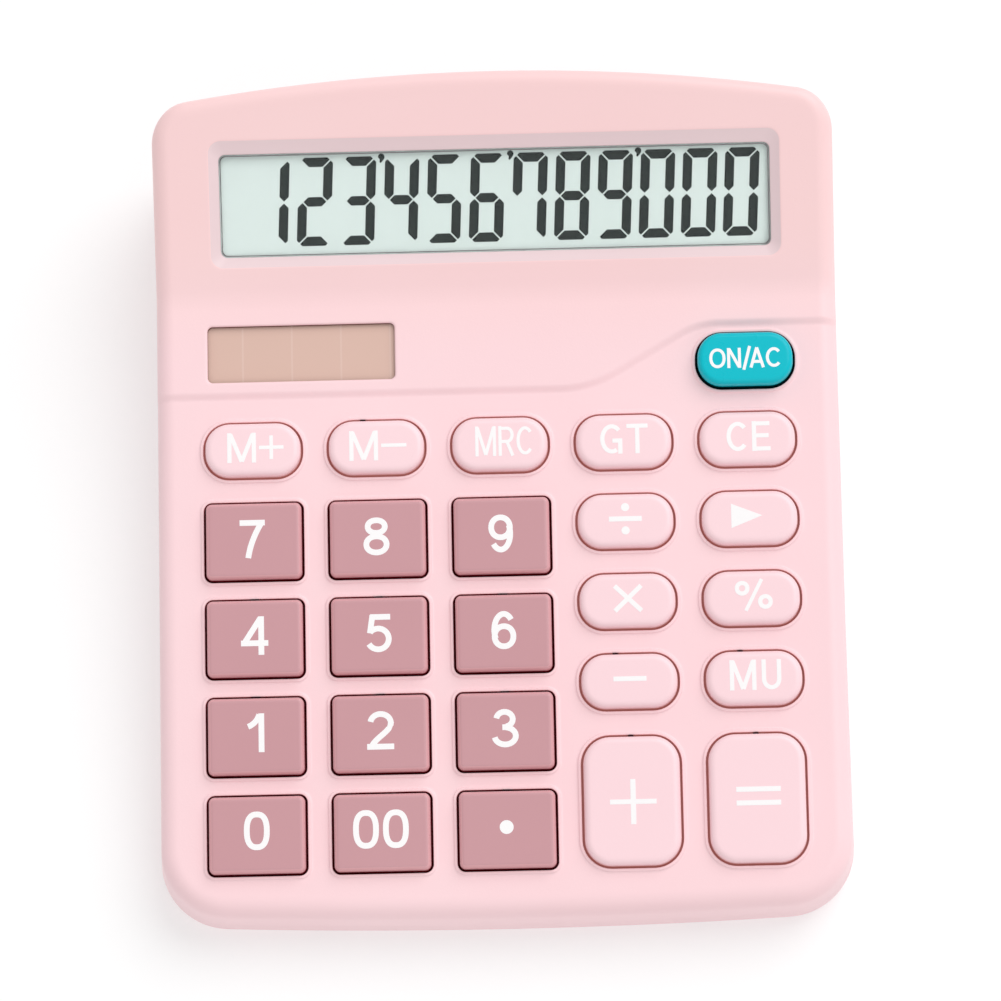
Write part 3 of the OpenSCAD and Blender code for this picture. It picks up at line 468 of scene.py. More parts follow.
casePink = plastic("casePink", (253, 218, 222), (250, 210, 215), 0.42)
# The top case's copy of the pink, which takes the painted reflection on its display face.
topPinkPaintedReflection = plastic("topPinkPaintedReflection", (253, 218, 222), (250, 210, 215), 0.42)
paintFaceReflection(topPinkPaintedReflection)
functionPink = plastic("functionPink", (254, 220, 225), (250, 213, 219), 0.36, grain=0.006)
numberRose = plastic("numberRose", (203, 151, 157), (197, 144, 150), 0.34, grain=0.008)
# Painted highlight: a paler rose on the number keys' rounded edges.
numberEdgeHighlight = plastic("numberEdgeHighlight", (220, 163, 168), (214, 156, 162), 0.34, grain=0.008)
powerTeal = plastic("powerTeal", (0, 193, 207), (0, 184, 199), 0.3, grain=0.003, Specular_IOR_Level=0.2)
# Painted shade for gaps and recesses: darker, redder copies of the plastics without highlights, on opening
# walls and key skirts. The one on the function keys' walls and skirts adds a painted glow.
gapShadeFinish = {"roughness": 0.6, "grain": 0.004, "Specular_IOR_Level": 0.0}
caseGapShade = plastic("caseGapShade", (214, 96, 106), (204, 88, 98), **gapShadeFinish)
caseGapShadeGlow = plastic("caseGapShadeGlow", (205, 160, 156), (196, 152, 148), **gapShadeFinish,
                   Emission_Color=linear(130, 84, 80), Emission_Strength=0.5)
# The window's sloping border: a satin finish whose greyer pink is painted shade.
borderSatinShade = plastic("borderSatinShade", (238, 213, 216), (232, 206, 209), 0.36, grain=0.004)
# Painted shade on the walls down to the solar cell.
solarRecessShade = plastic("solarRecessShade", (104, 50, 50), (94, 42, 42), **gapShadeFinish)
# Painted shadow in the gap round the window's pane.
windowGapShadow = plastic("windowGapShadow", (112, 98, 102), (102, 88, 92), **gapShadeFinish)
# Painted shade on the number keys' skirts, low in their gaps.
numberSkirtShade = plastic("numberSkirtShade", (140, 34, 46), (130, 30, 42), **gapShadeFinish)
# Painted shadow: the gate stubs, dark as the gap they stand in.
gateStubShadow = plastic("gateStubShadow", (40, 16, 20), (30, 12, 16), 0.7, grain=0.004, Specular_IOR_Level=0.0)
# Painted shade on the power key's skirt, low in its gap.
powerSkirtShade = plastic("powerSkirtShade", (0, 52, 58), (0, 46, 52), **gapShadeFinish)
legendWhite = plastic("legendWhite", (253, 251, 251), (250, 247, 248), 0.5, grain=0.004)
footRubber = plastic("footRubber", (182, 172, 172), (170, 160, 160), 0.75, grain=0.03, grainScale=1500)
matSilicone = plastic("matSilicone", (226, 226, 220), (214, 214, 208), 0.6, grain=0.02)
whitePlastic = plastic("whitePlastic", (240, 240, 236), (232, 232, 228), 0.45)
redInsulation = plastic("redInsulation", (178, 30, 30), (158, 24, 26), 0.4, grain=0.004)
blackInsulation = plastic("blackInsulation", (26, 26, 26), (36, 36, 36), 0.4, grain=0.004)
blackEpoxy = plastic("blackEpoxy", (18, 18, 18), (28, 28, 30), 0.22, grain=0.02, swell=0.8)
capacitorSleeve = plastic("capacitorSleeve", (36, 48, 88), (30, 40, 76), 0.3, grain=0.004)
resistorCeramic = plastic("resistorCeramic", (34, 34, 34), (48, 48, 48), 0.4, grain=0.01)
carbonRubber = plastic("carbonRubber", (22, 22, 22), (34, 34, 34), 0.8, grain=0.02)
carbonInk = plastic("carbonInk", (34, 34, 36), (46, 46, 48), 0.7, grain=0.01)
boardLaminate = plastic("boardLaminate", (150, 118, 66), (132, 102, 54), 0.5, grain=0.02)
ribbonFilm = plastic("ribbonFilm", (186, 172, 132), (174, 160, 120), 0.35, grain=0.003)
lcdGlass = plastic("lcdGlass", (196, 203, 201), (191, 199, 196), 0.5, grain=0.001, Specular_IOR_Level=0.1)
# Painted shadow: the dark line of the gap round the window's pane, on the pad's edge.
paneEdgeShadow = plastic("paneEdgeShadow", (112, 108, 110), (102, 98, 100), 0.4, grain=0.002)
lcdInk = plastic("lcdInk", (30, 37, 36), (24, 30, 29), 0.6, grain=0.001, Specular_IOR_Level=0.0)
screwSteel = plastic("screwSteel", (176, 178, 182), (160, 162, 168), 0.32, grain=0.004, Metallic=1.0)
springSteel = plastic("springSteel", (190, 192, 196), (172, 174, 180), 0.28, grain=0.003, Metallic=1.0)
foilSilver = plastic("foilSilver", (220, 222, 224), (208, 210, 212), 0.25, grain=0.003, Metallic=1.0)


solarFilm = {
    "colour": (220, 185, 171), "shade": (214, 178, 162), "seam": (224, 192, 180), "drift": 0.25,
    "cellPitch": 8.6, "offset": 35.75, "seamFrom": 0.478, "seamFull": 0.488, "roughness": 0.3, "marks": 0.015,
}


def buildSolarGlass():
    # Amber film over four cells side by side: the distance from a cell's middle, as a share of the pitch,
    # gives a narrow paler seam where it nears a half.
    material, tree, shader = newMaterial("solarGlass")
    share = addNode(tree, "ShaderNodeSeparateXYZ", [("Vector", objectCoords(tree))]).outputs["X"]
    for operation, value in (("ADD", solarFilm["offset"] * mm), ("DIVIDE", solarFilm["cellPitch"] * mm),
                             ("FRACT", 0.5), ("SUBTRACT", 0.5), ("ABSOLUTE", 0.5)):
        share = addNode(tree, "ShaderNodeMath", [(0, share), (1, value)], operation=operation).outputs[0]
    start, full = solarFilm["seamFrom"], solarFilm["seamFull"]
    seam = addNode(tree, "ShaderNodeMapRange", [("Value", share), ("From Min", start), ("From Max", full)])
    tone = driftingTone(tree, solarFilm["colour"], solarFilm["shade"], solarFilm["drift"])
    mixed = addNode(tree, "ShaderNodeMix",
                    [("Factor", seam.outputs[0]), ("A", tone), ("B", linear(*solarFilm["seam"]))],
                    data_type="RGBA")
    tree.links.new(mixed.outputs[2], shader.inputs["Base Color"])
    addHandling(tree, shader, solarFilm["roughness"], solarFilm["marks"])
    return material


def buildClearWindow():
    # Clear acrylic: glass to the eye, but its shadow lets the light through to the display.
    material, tree, shader = newMaterial("clearAcrylic")
    shader.inputs["Base Color"].default_value = (0.97, 1.0, 0.99, 1)
    shader.inputs["Transmission Weight"].default_value = 1.0
    shader.inputs["IOR"].default_value = 1.25
    addHandling(tree, shader, 0.03, 0.02)
    through = addNode(tree, "ShaderNodeBsdfTransparent")
    path = addNode(tree, "ShaderNodeLightPath")
    mixed = addNode(tree, "ShaderNodeMixShader",
                    [(0, path.outputs["Is Shadow Ray"]), (1, shader.outputs[0]), (2, through.outputs[0])])
    tree.links.new(mixed.outputs[0], tree.nodes["Material Output"].inputs["Surface"])
    return material


jacket = {"colour": (70, 74, 82), "shade": (60, 64, 72), "roughness": 0.28,
          "bands": [(11.0, (196, 128, 84)), (25.8, (186, 188, 192))]}


def buildBatteryJacket():
    # A plain jacket along X: past its first line a copper band, and past its second the bare steel button.
    material, tree, shader = newMaterial("batteryJacket")
    along = addNode(tree, "ShaderNodeSeparateXYZ", [("Vector", objectCoords(tree))])
    colour = driftingTone(tree, jacket["colour"], jacket["shade"])
    for start, shade in jacket["bands"]:
        mask = addNode(tree, "ShaderNodeMath", [(0, along.outputs["X"]), (1, start * mm)],
                       operation="GREATER_THAN")
        colour = addNode(tree, "ShaderNodeMix",
                         [("Factor", mask.outputs[0]), ("A", colour), ("B", linear(*shade))],
                         data_type="RGBA").outputs[2]
    tree.links.new(colour, shader.inputs["Base Color"])
    tree.links.new(mask.outputs[0], shader.inputs["Metallic"])
    addHandling(tree, shader, jacket["roughness"])
    return material


batteryJacket = buildBatteryJacket()
solarGlass, clearAcrylic = buildSolarGlass(), buildClearWindow()
print("materials made:", len(bpy.data.materials))


# Top case: skin, key openings with their lips, window and solar openings, inside skin and bosses.

topCase = {
    "rimSteps": 12, "rowReach": 54, "bevelTop": 2.6, "bevelSide": 1.8, "bevelDepth": 0.8, "bevelRadius": 2.2,
    "bossRadius": 1.9, "screwHole": 1.05, "boardTop": -6.7, "holderTop": -4.3,
    "boardScrews": [(-31.95, 23.65), (-10.45, 23.65), (-31.95, 57.85), (-10.45, 57.85), (32.55, 33.95),
                    (32.55, 75.52), (-7.95, 97), (25.05, 97)],
    "holderScrews": [(-43.6, 0.8), (-29.6, 31.1), (44.2, 0.8), (30.2, 31.1)],
    "caseBossRadius": 2.6, "caseScrewHole": 1.3, "caseScrewDepth": 4,
    "caseScrews": [(-31.95, -68.03, 6.3), (32.55, -68.03, 6.3), (-54, 52, 14), (54, 52, 14)],
}
lip = {
    "width": 0.5, "height": 0.3, "crown": (0.13, 0.12), "inner": 0.12, "deepFrom": -0.6,
    "foot": [(0.45, 0), (0.3, 0), (0.12, 0.05), (0, 0.16)],      # out from the lip, and up
}
window = {
    "width": 96.2, "depth": 18, "up": 7.4, "x": 0.3, "radius": 1.2, "top": 1.2,
    "pocket": {"side": 1.5, "below": 2.9, "above": 2.1, "radius": 0.3},
}
solar = {"width": 32.7, "depth": 10, "x": -34.1, "up": 99.8, "top": -0.4, "pocket": 1.7, "edge": 0.35,
         "radius": 0.9}


def keySize(kind):
    # A key's depth and the radius of its corners; the power key is as large as a function key.
    size = "function" if kind == "power" else kind
    return keypad[size + "Depth"], keypad[size + "Radius"]


def keyCentre(column, kind, row):
    # Where a key's middle lies on the deck; a tall key starts at the front edge of the first row.
    x = keypad["middleX"] + (column - 2) * keypad["columnPitch"]
    if kind == "number":
        return x, keypad["numberFirst"] + row * keypad["numberPitch"]
    if kind == "tall":
        return x, keypad["numberFirst"] + (keypad["tallDepth"] - keypad["numberDepth"]) / 2
    return x, keypad["functionFirst"] + row * keypad["functionPitch"]


def keyLoop(kind, grow, perCorner=10):
    # A key's outline moved out by grow, about its own middle.
    depth, radius = keySize(kind)
    return roundedLoop(keypad["keyWidth"] + 2 * grow, depth + 2 * grow, max(radius + grow, 0.25), perCorner)


def deckRings(section, x, v, loopOf):
    # A loop for each point of a section: grown by the point's first number, and at its second as level.
    loops = [(loopOf(grow), w) for grow, w in section]
    return [onDeck(x + loop[:, 0], v + loop[:, 1], w) for loop, w in loops]


def keyOpening(column, kind, row):
    # Rings from the flat deck over the raised lip, rounded on both sides, and down the opening's wall.
    gap, rise, inner = keypad["travelGap"], lip["height"], lip["inner"]
    far, (crownWide, crownHigh) = gap + lip["width"], lip["crown"]
    turned = np.linspace(0, math.pi / 2, 5)
    outside = [(far + out, up) for out, up in lip["foot"]]
    crown = [(far - crownWide * (1 - math.cos(a)), rise - crownHigh * (1 - math.sin(a))) for a in turned]
    edge = [(gap + inner * (1 - math.sin(a)), rise - inner * (1 - math.cos(a))) for a in turned]
    wallDown = [(gap, lip["deepFrom"]), (gap, -case["wall"])]
    section = outside + crown + edge + wallDown
    return np.array(deckRings(section, *keyCentre(column, kind, row), lambda grow: keyLoop(kind, grow)))


def windowOpening():
    # Rings from the display face down the sloping border to the window, then out to its pocket behind.
    # A ring of the border is a mix of its outer and inner loops, at a level of its own.
    width, depth, middle = window["width"], window["depth"], window["up"] + window["depth"] / 2
    side, deep, radius = topCase["bevelSide"], topCase["bevelDepth"], topCase["bevelRadius"]
    extra = topCase["bevelTop"] - side
    inner = roundedLoop(width, depth, window["radius"], 8)
    outer = roundedLoop(width + 2 * side, depth + 2 * side + extra, radius, 8) + [0, extra / 2]
    slope = [(1.22, 0), (1.1, 0), (1.03, -0.012), (0.96, -0.05), (0.9, -0.1), (0.1, -deep + 0.03),
             (0.05, -deep), (0.015, -deep - 0.06), (0, -deep - 0.14)]
    rings = [inner * (1 - t) + outer * t for t, n in slope]
    levels = [n for t, n in slope]
    pocket = window["pocket"]
    below, above = pocket["below"], pocket["above"]
    room = roundedLoop(width + 2 * pocket["side"], depth + below + above, pocket["radius"], 8)
    room = room + [0, (above - below) / 2]
    rings += [inner, room, room]
    levels += [-window["top"], -window["top"], -case["wall"]]
    return np.array([onFace(window["x"] + r[:, 0], middle + r[:, 1], n) for r, n in zip(rings, levels)])


def solarOpening():
    # Rings from the raised band over a rounded edge down to the solar cell, then out to its pocket behind.
    top, edge = step["height"], solar["edge"]
    turn = np.linspace(0, math.pi / 2, 5)
    profile = [(0.8, top), (0.6, top)]
    profile += [(edge * (1 - math.sin(a)), top - edge * (1 - math.cos(a))) for a in turn]
    profile += [(0, solar["top"]), (solar["pocket"], solar["top"]), (solar["pocket"], -case["wall"])]

    def solarLoop(grow):
        radius = solar["radius"] + 0.3 * grow
        return roundedLoop(solar["width"] + 2 * grow, solar["depth"] + 2 * grow, radius, 8)
    return np.array(deckRings(profile, solar["x"], solar["up"], solarLoop))


def rampRows():
    # Lines along the step, side by side across its ramp, kept clear of the rounded rim.
    reach = topCase["rowReach"]
    x = np.concatenate([np.linspace(-reach, stepX[1], 16)[:-1], np.linspace(stepX[1], stepX[-2], 44),
                        np.linspace(stepX[-2], reach, 8)[1:]])
    v, slope = np.interp(x, stepX, stepV), np.interp(x, stepX, stepSlope)
    scale = np.sqrt(1 + slope ** 2)
    half = step["rampWidth"] / 2
    rows = []
    for across in np.concatenate([[-half - 0.15], np.linspace(-half, half, 9), [half + 0.15]]):
        px = np.clip(x - across * slope / scale, -reach, reach)
        rows.append(np.column_stack([px, frontY + (v + across / scale) * cosDeck]))
    return rows


def creaseRows():
    # Lines across the case through the soft crease.
    x = np.linspace(-topCase["rowReach"], topCase["rowReach"], 37)
    levels = np.linspace(creaseY - 2.3, creaseY + 2.3, 13)
    return [np.column_stack([x, np.full_like(x, y)]) for y in levels]


def screwBosses():
    # Hollow posts under the deck and the face, and four that run down to the bottom case: turned profiles,
    # whose upper ends lie hidden in the skin.
    r, hole, skin = topCase["bossRadius"], topCase["screwHole"], -case["wall"]
    parts = []
    for screws, place, foot in ((topCase["boardScrews"], onDeck, topCase["boardTop"]),
                                (topCase["holderScrews"], onFace, topCase["holderTop"])):
        profile = [(0, skin + 0.05), (hole, skin + 0.05), (hole, foot + 0.15), (hole + 0.15, foot),
                   (r - 0.12, foot), (r, foot + 0.12), (r, skin + 0.3), (0, skin + 0.3)]
        parts += [bands(lathe(profile, lambda a, b, w: place(x + a, v + b, w))) for x, v in screws]
    r, hole = topCase["caseBossRadius"], topCase["caseScrewHole"]
    for x, y, foot in topCase["caseScrews"]:
        def slanted(a, b, t):
            # The height runs from 0 at the foot to 1 just inside the slanted skin.
            z = foot + t * (innerHeight(x + a, y + b) + 0.4 - foot)
            return np.stack(np.broadcast_arrays(x + a, y + b, z), -1)
        tall = float(innerHeight(np.array(x), np.array(y))) - foot
        deep = topCase["caseScrewDepth"] / tall
        profile = [(0, deep), (hole, deep), (hole, 0.2 / tall), (hole + 0.2, 0), (r - 0.15, 0),
                   (r, 0.15 / tall), (r, 1), (0, 1)]
        parts.append(bands(lathe(profile, slanted)))
    return parts


# Painted shade on the key openings' walls; the function keys' walls have a painted glow as well.
wallGapShade = {"number": caseGapShade, "power": caseGapShade, "function": caseGapShadeGlow, "tall": caseGapShadeGlow}


def rimRings(radius, inset, turn, height):
    # Rings round the rim: in by a quarter circle's width, and down from the height by what it falls short.
    return [outlineRing(inset + radius * (1 - math.cos(a)),
                        lambda x, y, a=a: height(x, y) - radius * (1 - math.sin(a))) for a in turn]


def buildTopCase():
    # Outside and inside are rings from the joint line up over the rounded rim, each closed by a sheet that
    # leaves the openings free; each opening's own rings join the two sheets.
    rim, wall, draft = case["rimRadius"], case["wall"], case["sideDraft"]
    turn = np.linspace(0, math.pi / 2, topCase["rimSteps"] + 1)
    joint = case["jointLine"]
    outside = [outlineRing(wall, joint), outlineRing(0.14, joint), outlineRing(0.03, joint + 0.05),
               outlineRing(0, joint + 0.16)]
    outside += rimRings(rim, draft, turn, outerHeight)
    outside.append(outlineRing(draft + rim + 0.4, outerHeight))
    inside = [outlineRing(wall, joint)] + rimRings(rim - wall, wall + draft, turn[::2], innerHeight)
    keyRings = [keyOpening(column, kind, row) for name, column, kind, row, legend in keyList]
    windowRings, solarRings = windowOpening(), solarOpening()
    openings = keyRings + [windowRings, solarRings]
    skin = fillSheet(outside[-1], [o[0] for o in openings], rampRows() + creaseRows(), outerHeight)
    lining = fillSheet(inside[-1], [o[-1] for o in openings], creaseRows(), innerHeight)
    parts = [bands(outside), bands(inside), skin, lining]
    # A key opening's wall is its last three rings, in painted shade; the other walls, with their pockets, are
    # the last four.
    for rings, (name, column, kind, row, legend) in zip(keyRings, keyList):
        parts += [bands(rings[:-2]), bands(rings[-3:]) + (wallGapShade[kind],)]
    # From its fourth ring on, the window's sloping border has a satin face of its own, greyed with painted
    # shade. The walls of the window's gap and of the solar recess take painted shadow.
    parts += [bands(windowRings[:4]), bands(windowRings[3:-3]) + (borderSatinShade,),
              bands(windowRings[-4:]) + (windowGapShadow,)]
    parts += [bands(solarRings[:-3]), bands(solarRings[-4:]) + (solarRecessShade,)]
    parts += screwBosses()
    return makePiece("caseTop", parts, topPinkPaintedReflection, 40, stands=["top_case"])


caseTop = buildTopCase()
print("top case:", len(caseTop.data.polygons), "faces")


# Keys: hollow crowned caps.

keyShape = {
    "shell": 1.1, "flange": 0.6, "flangeTop": -2.25, "flangeBottom": -3.15, "plungerRadius": 2,
    "plungerBottom": -3.5, "draft": 0.1, "edgeSteps": 10,
    # For each kind: the flat top's level, the rounded edge's width and height, and the level up to which the
    # skirt is painted with gap shade.
    "rise": {"number": 2.0, "function": 2.0, "tall": 2.0, "power": 2.8},
    "edge": {"number": (0.85, 0.75), "function": (1.2, 0.95), "tall": (1.2, 0.95), "power": (1.0, 1.1)},
    "skirtShadeBelow": {"number": 0.35, "function": 0.1, "tall": 0.1, "power": 0.9},
    # The edge's finish is a painted highlight on number keys.
    "edgeHighlightRings": 8,      # how much of the edge, in rings, takes the edge's own finish
}
# Where the mould fed a key: the stub of its gate shows behind the key, painted dark as the shadow in its gap.
gate = {
    "keys": ("4", "5", "6", "1", "2", "3", "point", "m_minus", "minus", "mu", "plus", "equals"),
    "width": {"number": 1.6, "function": 1.0, "tall": 1.0}, "depth": 0.5, "radius": 0.15,
    "aside": {"number": 0, "function": 2.3, "tall": 0}, "low": -0.6, "high": 0.58, "chamfer": (0.9, 0.08),
}
# A kind's finishes: the top; the rounded edge, on a number key a paler rose as painted highlight; the skirt
# in painted gap shade; and a slot name.
keyFinish = {
    "number": {"top": numberRose, "edge": numberEdgeHighlight, "deep": numberSkirtShade, "slot": "number_key_plastic"},
    "function": {"top": functionPink, "edge": functionPink, "deep": caseGapShadeGlow, "slot": "function_key_plastic"},
    "power": {"top": powerTeal, "edge": powerTeal, "deep": powerSkirtShade, "slot": "power_key_plastic"},
}
keyFinish["tall"] = keyFinish["function"]


def gateStub(kind, x, v):
    # The cut stub of the moulding gate, behind a key in its gap: an upright bar with a chamfered end.
    x, v, low, high = x - gate["aside"][kind], v + keySize(kind)[0] / 2, gate["low"], gate["high"]
    stub = roundedLoop(gate["width"][kind], gate["depth"], gate["radius"], 3)
    narrow, cut = gate["chamfer"]
    rings = [onDeck(x + s * stub[:, 0], v + s * stub[:, 1], w)
             for s, w in ((0, low), (1, low), (1, high - cut), (narrow, high), (0, high))]
    return bands(rings)


def buildKey(name, column, kind, row):
    # A cap's section carried round its outline: inside, flange and leaning skirt, elliptical edge, flat top.
    finish = keyFinish[kind]
    top, shell, draft = keyShape["rise"][kind], keyShape["shell"], keyShape["draft"]
    ceiling, deep = top - shell, keyShape["skirtShadeBelow"][kind]
    flange, low, high = keyShape["flange"], keyShape["flangeBottom"], keyShape["flangeTop"]
    width, height = keyShape["edge"][kind]
    inside = [(-shell - 0.2, ceiling), (-shell, ceiling - 0.2), (-shell, low), (flange, low)]
    skirt = [(flange, low), (flange, high), (0, high), (0, -0.2), (-draft / 2, deep)]
    edge = [(-draft - width * (1 - math.cos(a)), top - height * (1 - math.sin(a)))
            for a in np.linspace(0, math.pi / 2, keyShape["edgeSteps"] + 1)]
    crown = skirt[-1:] + edge + [(-draft - width - 0.2, top)]
    x, v = keyCentre(column, kind, row)
    inside, skirt, crown = (deckRings(section, x, v, lambda grow: keyLoop(kind, grow))
                            for section in (inside, skirt, crown))
    below = list(closeTo(inside[0], onDeck(x, v, ceiling))[:0:-1]) + inside
    above = crown + list(closeTo(crown[-1], onDeck(x, v, top), 2)[1:])
    r, end, highlightCount = keyShape["plungerRadius"], keyShape["plungerBottom"], keyShape["edgeHighlightRings"]
    plunger = lathe([(0, end), (r - 0.2, end), (r, end + 0.2), (r, ceiling + 0.2), (0, ceiling + 0.2)],
                    lambda a, b, w: onDeck(x + a, v + b, w), 24)
    # The skirt takes painted gap shade, and the first rings of the edge the edge's finish, a painted
    # highlight on number keys.
    parts = [bands(below), bands(skirt) + (finish["deep"],), bands(above[:highlightCount + 1]) + (finish["edge"],),
             bands(above[highlightCount:]), bands(plunger)]
    if name in gate["keys"]:
        # The stub is painted dark as shadow.
        parts.append(gateStub(kind, x, v) + (gateStubShadow,))
    return makePiece("keycap_" + name, parts, finish["top"], 50, body="key_" + name,
                     stands=["key_" + name])


for name, column, kind, row, legend in keyList:
    buildKey(name, column, kind, row)
print("keys:", len(keyList))


# Legends: strokes of even width, joined in the plane of each key's top.

def arc(cx, cy, rx, ry, start, end, count=20):
    # Part of an ellipse from one angle to another, in degrees.
    a = np.radians(np.linspace(start, end, count))
    return np.stack([cx + rx * np.cos(a), cy + ry * np.sin(a)], -1)


def oval(cx, cy, rx, ry, power=2.25, count=40):
    # A closed, slightly squared ellipse.
    a = np.linspace(0, 2 * math.pi, count + 1)
    around = np.stack([np.cos(a), np.sin(a)], -1)
    return np.array([cx, cy]) + np.array([rx, ry]) * np.sign(around) * abs(around) ** (2 / power)


def curve(*controls, count=14):
    # A smooth curve through the pull of four control points.
    a, b, c, d = (np.array(p, float) for p in controls)
    t = np.linspace(0, 1, count)[:, None]
    return a * (1 - t) ** 3 + 3 * b * t * (1 - t) ** 2 + 3 * c * t ** 2 * (1 - t) + d * t ** 3


def line(*points):
    # Straight strokes from point to point.
    return np.array(points, float)


def joined(*paths):
    # One stroke that runs on through several paths.
    return np.concatenate(paths)


def glyphPaths():
    # Centre lines of each sign in a box one unit high, for a stroke of 0.16.
    low, high, mid = 0.08, 0.92, 0.5
    nine = [oval(0.32, 0.66, 0.24, 0.26, 2.1), arc(0.32, mid, 0.245, 0.42, 30, -140, 26)]
    return {
        "0": [oval(0.335, mid, 0.255, 0.42, 2.5)],
        "1": [line((0.36, 0), (0.36, 1)), curve((0.02, 0.66), (0.13, 0.70), (0.25, 0.79), (0.31, 0.97))],
        "2": [joined(arc(0.352, 0.69, 0.26, 0.23, 172, -25),
                     curve((0.588, 0.593), (0.50, 0.42), (0.22, 0.30), (0.11, 0.08))),
              line((0, low), (0.69, low))],
        "3": [arc(0.325, 0.73, 0.21, 0.19, 172, -80), arc(0.335, 0.30, 0.27, 0.22, 85, -172),
              line((0.265, 0.525), (0.36, 0.525))],
        "4": [line((0.50, 0.95), (0.085, 0.31)), line((0, 0.305), (0.70, 0.305)), line((0.52, 0), (0.52, 1))],
        "5": [line((0.13, high), (0.645, high)), line((0.19, 0.97), (0.12, 0.50)),
              arc(0.33, 0.35, 0.27, 0.27, 140, -152, 26)],
        "6": [np.array([0.655, 1.0]) - p for p in nine],
        "7": [line((0, high), (0.65, high)), curve((0.57, 0.93), (0.42, 0.68), (0.27, 0.38), (0.215, 0))],
        "8": [oval(0.34, 0.755, 0.22, 0.165, 2.1), oval(0.34, 0.29, 0.26, 0.21, 2.1)],
        "9": nine,
        "M": [line((0.09, 0), (0.09, 1)), line((0.91, 0), (0.91, 1)), line((0.12, 0.96), (0.5, 0.04)),
              line((0.88, 0.96), (0.5, 0.04))],
        "R": [line((0.09, 0), (0.09, 1)),
              joined(line((0.09, high), (0.42, high)), arc(0.42, 0.70, 0.24, 0.22, 90, -90),
                     line((0.42, 0.48), (0.09, 0.48))),
              line((0.42, 0.46), (0.68, 0.0))],
        "C": [arc(0.42, mid, 0.33, 0.42, 42, 318, 30)],
        "G": [arc(0.42, mid, 0.33, 0.42, 42, 300, 30), line((0.44, 0.44), (0.78, 0.44)),
              line((0.71, 0.0), (0.71, 0.50))],
        "T": [line((0, high), (0.74, high)), line((0.37, 0), (0.37, 0.95))],
        "E": [line((0.09, 0), (0.09, 1)), line((0.09, high), (0.66, high)), line((0.09, 0.52), (0.62, 0.52)),
              line((0.09, low), (0.68, low))],
        "U": [joined(line((0.09, 1), (0.09, 0.36)), arc(0.37, 0.36, 0.28, 0.28, 180, 360),
                     line((0.65, 0.36), (0.65, 1)))],
        "O": [oval(0.42, mid, 0.33, 0.42, 2.15)],
        "N": [line((0.09, 0), (0.09, 1)), line((0.63, 0), (0.63, 1)), line((0.12, 0.95), (0.60, 0.05))],
        "A": [line((0.07, 0), (0.38, 1.0)), line((0.69, 0), (0.38, 1.0)), line((0.18, 0.30), (0.58, 0.30))],
        "/": [line((0.06, -0.10), (0.38, 1.08))],
    }


signPaths = glyphPaths()
# How far each sign moves the pen; the slash leans into its neighbours.
signWidth = {
    "0": 0.67, "1": 0.44, "2": 0.69, "3": 0.675, "4": 0.70, "5": 0.68, "6": 0.655, "7": 0.65, "8": 0.675,
    "9": 0.655, "M": 1.0, "R": 0.76, "C": 0.76, "G": 0.80, "T": 0.74, "E": 0.68, "U": 0.74, "O": 0.84,
    "N": 0.72, "A": 0.76, "/": 0.30,
}


def thicken(path, width):
    # A stroke as quads: the path offset to both sides by half the width, mitred at its bends.
    keep = np.concatenate([[True], np.linalg.norm(np.diff(path, axis=0), axis=1) > 1e-6])
    path = path[keep]
    closed = np.linalg.norm(path[0] - path[-1]) < 1e-6
    along = np.diff(path, axis=0)
    along /= np.linalg.norm(along, axis=1)[:, None]
    before = np.vstack([along[-1:] if closed else along[:1], along])
    after = np.vstack([along, along[:1] if closed else along[-1:]])
    mean = before + after
    mean /= np.linalg.norm(mean, axis=1)[:, None]
    normal = np.stack([-mean[:, 1], mean[:, 0]], -1)
    stretch = 1 / np.maximum((before * mean).sum(1), 0.5)
    side = normal * (width / 2 * stretch)[:, None]
    left, right = path + side, path - side
    return list(np.stack([right[:-1], right[1:], left[1:], left[:-1]], 1))


def flatShape(polygons):
    # The union of overlapping polygons in a plane, as points, triangles and the edges of its rim.
    points, edges = [], []
    for polygon in polygons:
        first, count = len(points), len(polygon)
        points += [Vector(p) for p in polygon.tolist()]
        edges += [(first + i, first + (i + 1) % count) for i in range(count)]
    found = delaunay_2d_cdt(points, edges, [], 0, 1e-4)
    xy = np.array([tuple(p) for p in found[0]])
    triangles = np.array(found[2])
    middle = xy[triangles].mean(1)
    covered = np.zeros(len(triangles), bool)
    for polygon in polygons:
        covered |= insideLoop(middle, polygon)
    spot, same = np.unique(np.round(xy, 3), axis=0, return_index=True, return_inverse=True)[1:]
    xy, triangles = xy[spot], same.reshape(-1)[triangles[covered]]
    a, b, c = triangles.T
    triangles = triangles[(a != b) & (b != c) & (c != a)]
    edges = np.sort(triangles[:, [[0, 1], [1, 2], [2, 0]]].reshape(-1, 2), axis=1)
    unique, count = np.unique(edges, axis=0, return_counts=True)
    return xy, triangles, unique[count == 1]


def plate(polygons, place, low, high):
    # A thin plate of the polygons' union between two levels, closed round its rim.
    xy, triangles, rim = flatShape(polygons)
    n = len(xy)
    points = np.concatenate([place(xy[:, 0], xy[:, 1], low), place(xy[:, 0], xy[:, 1], high)])
    sides = np.column_stack([rim, rim[:, ::-1] + n])
    return [(points, triangles[:, ::-1]), (points, triangles + n), (points, sides)]


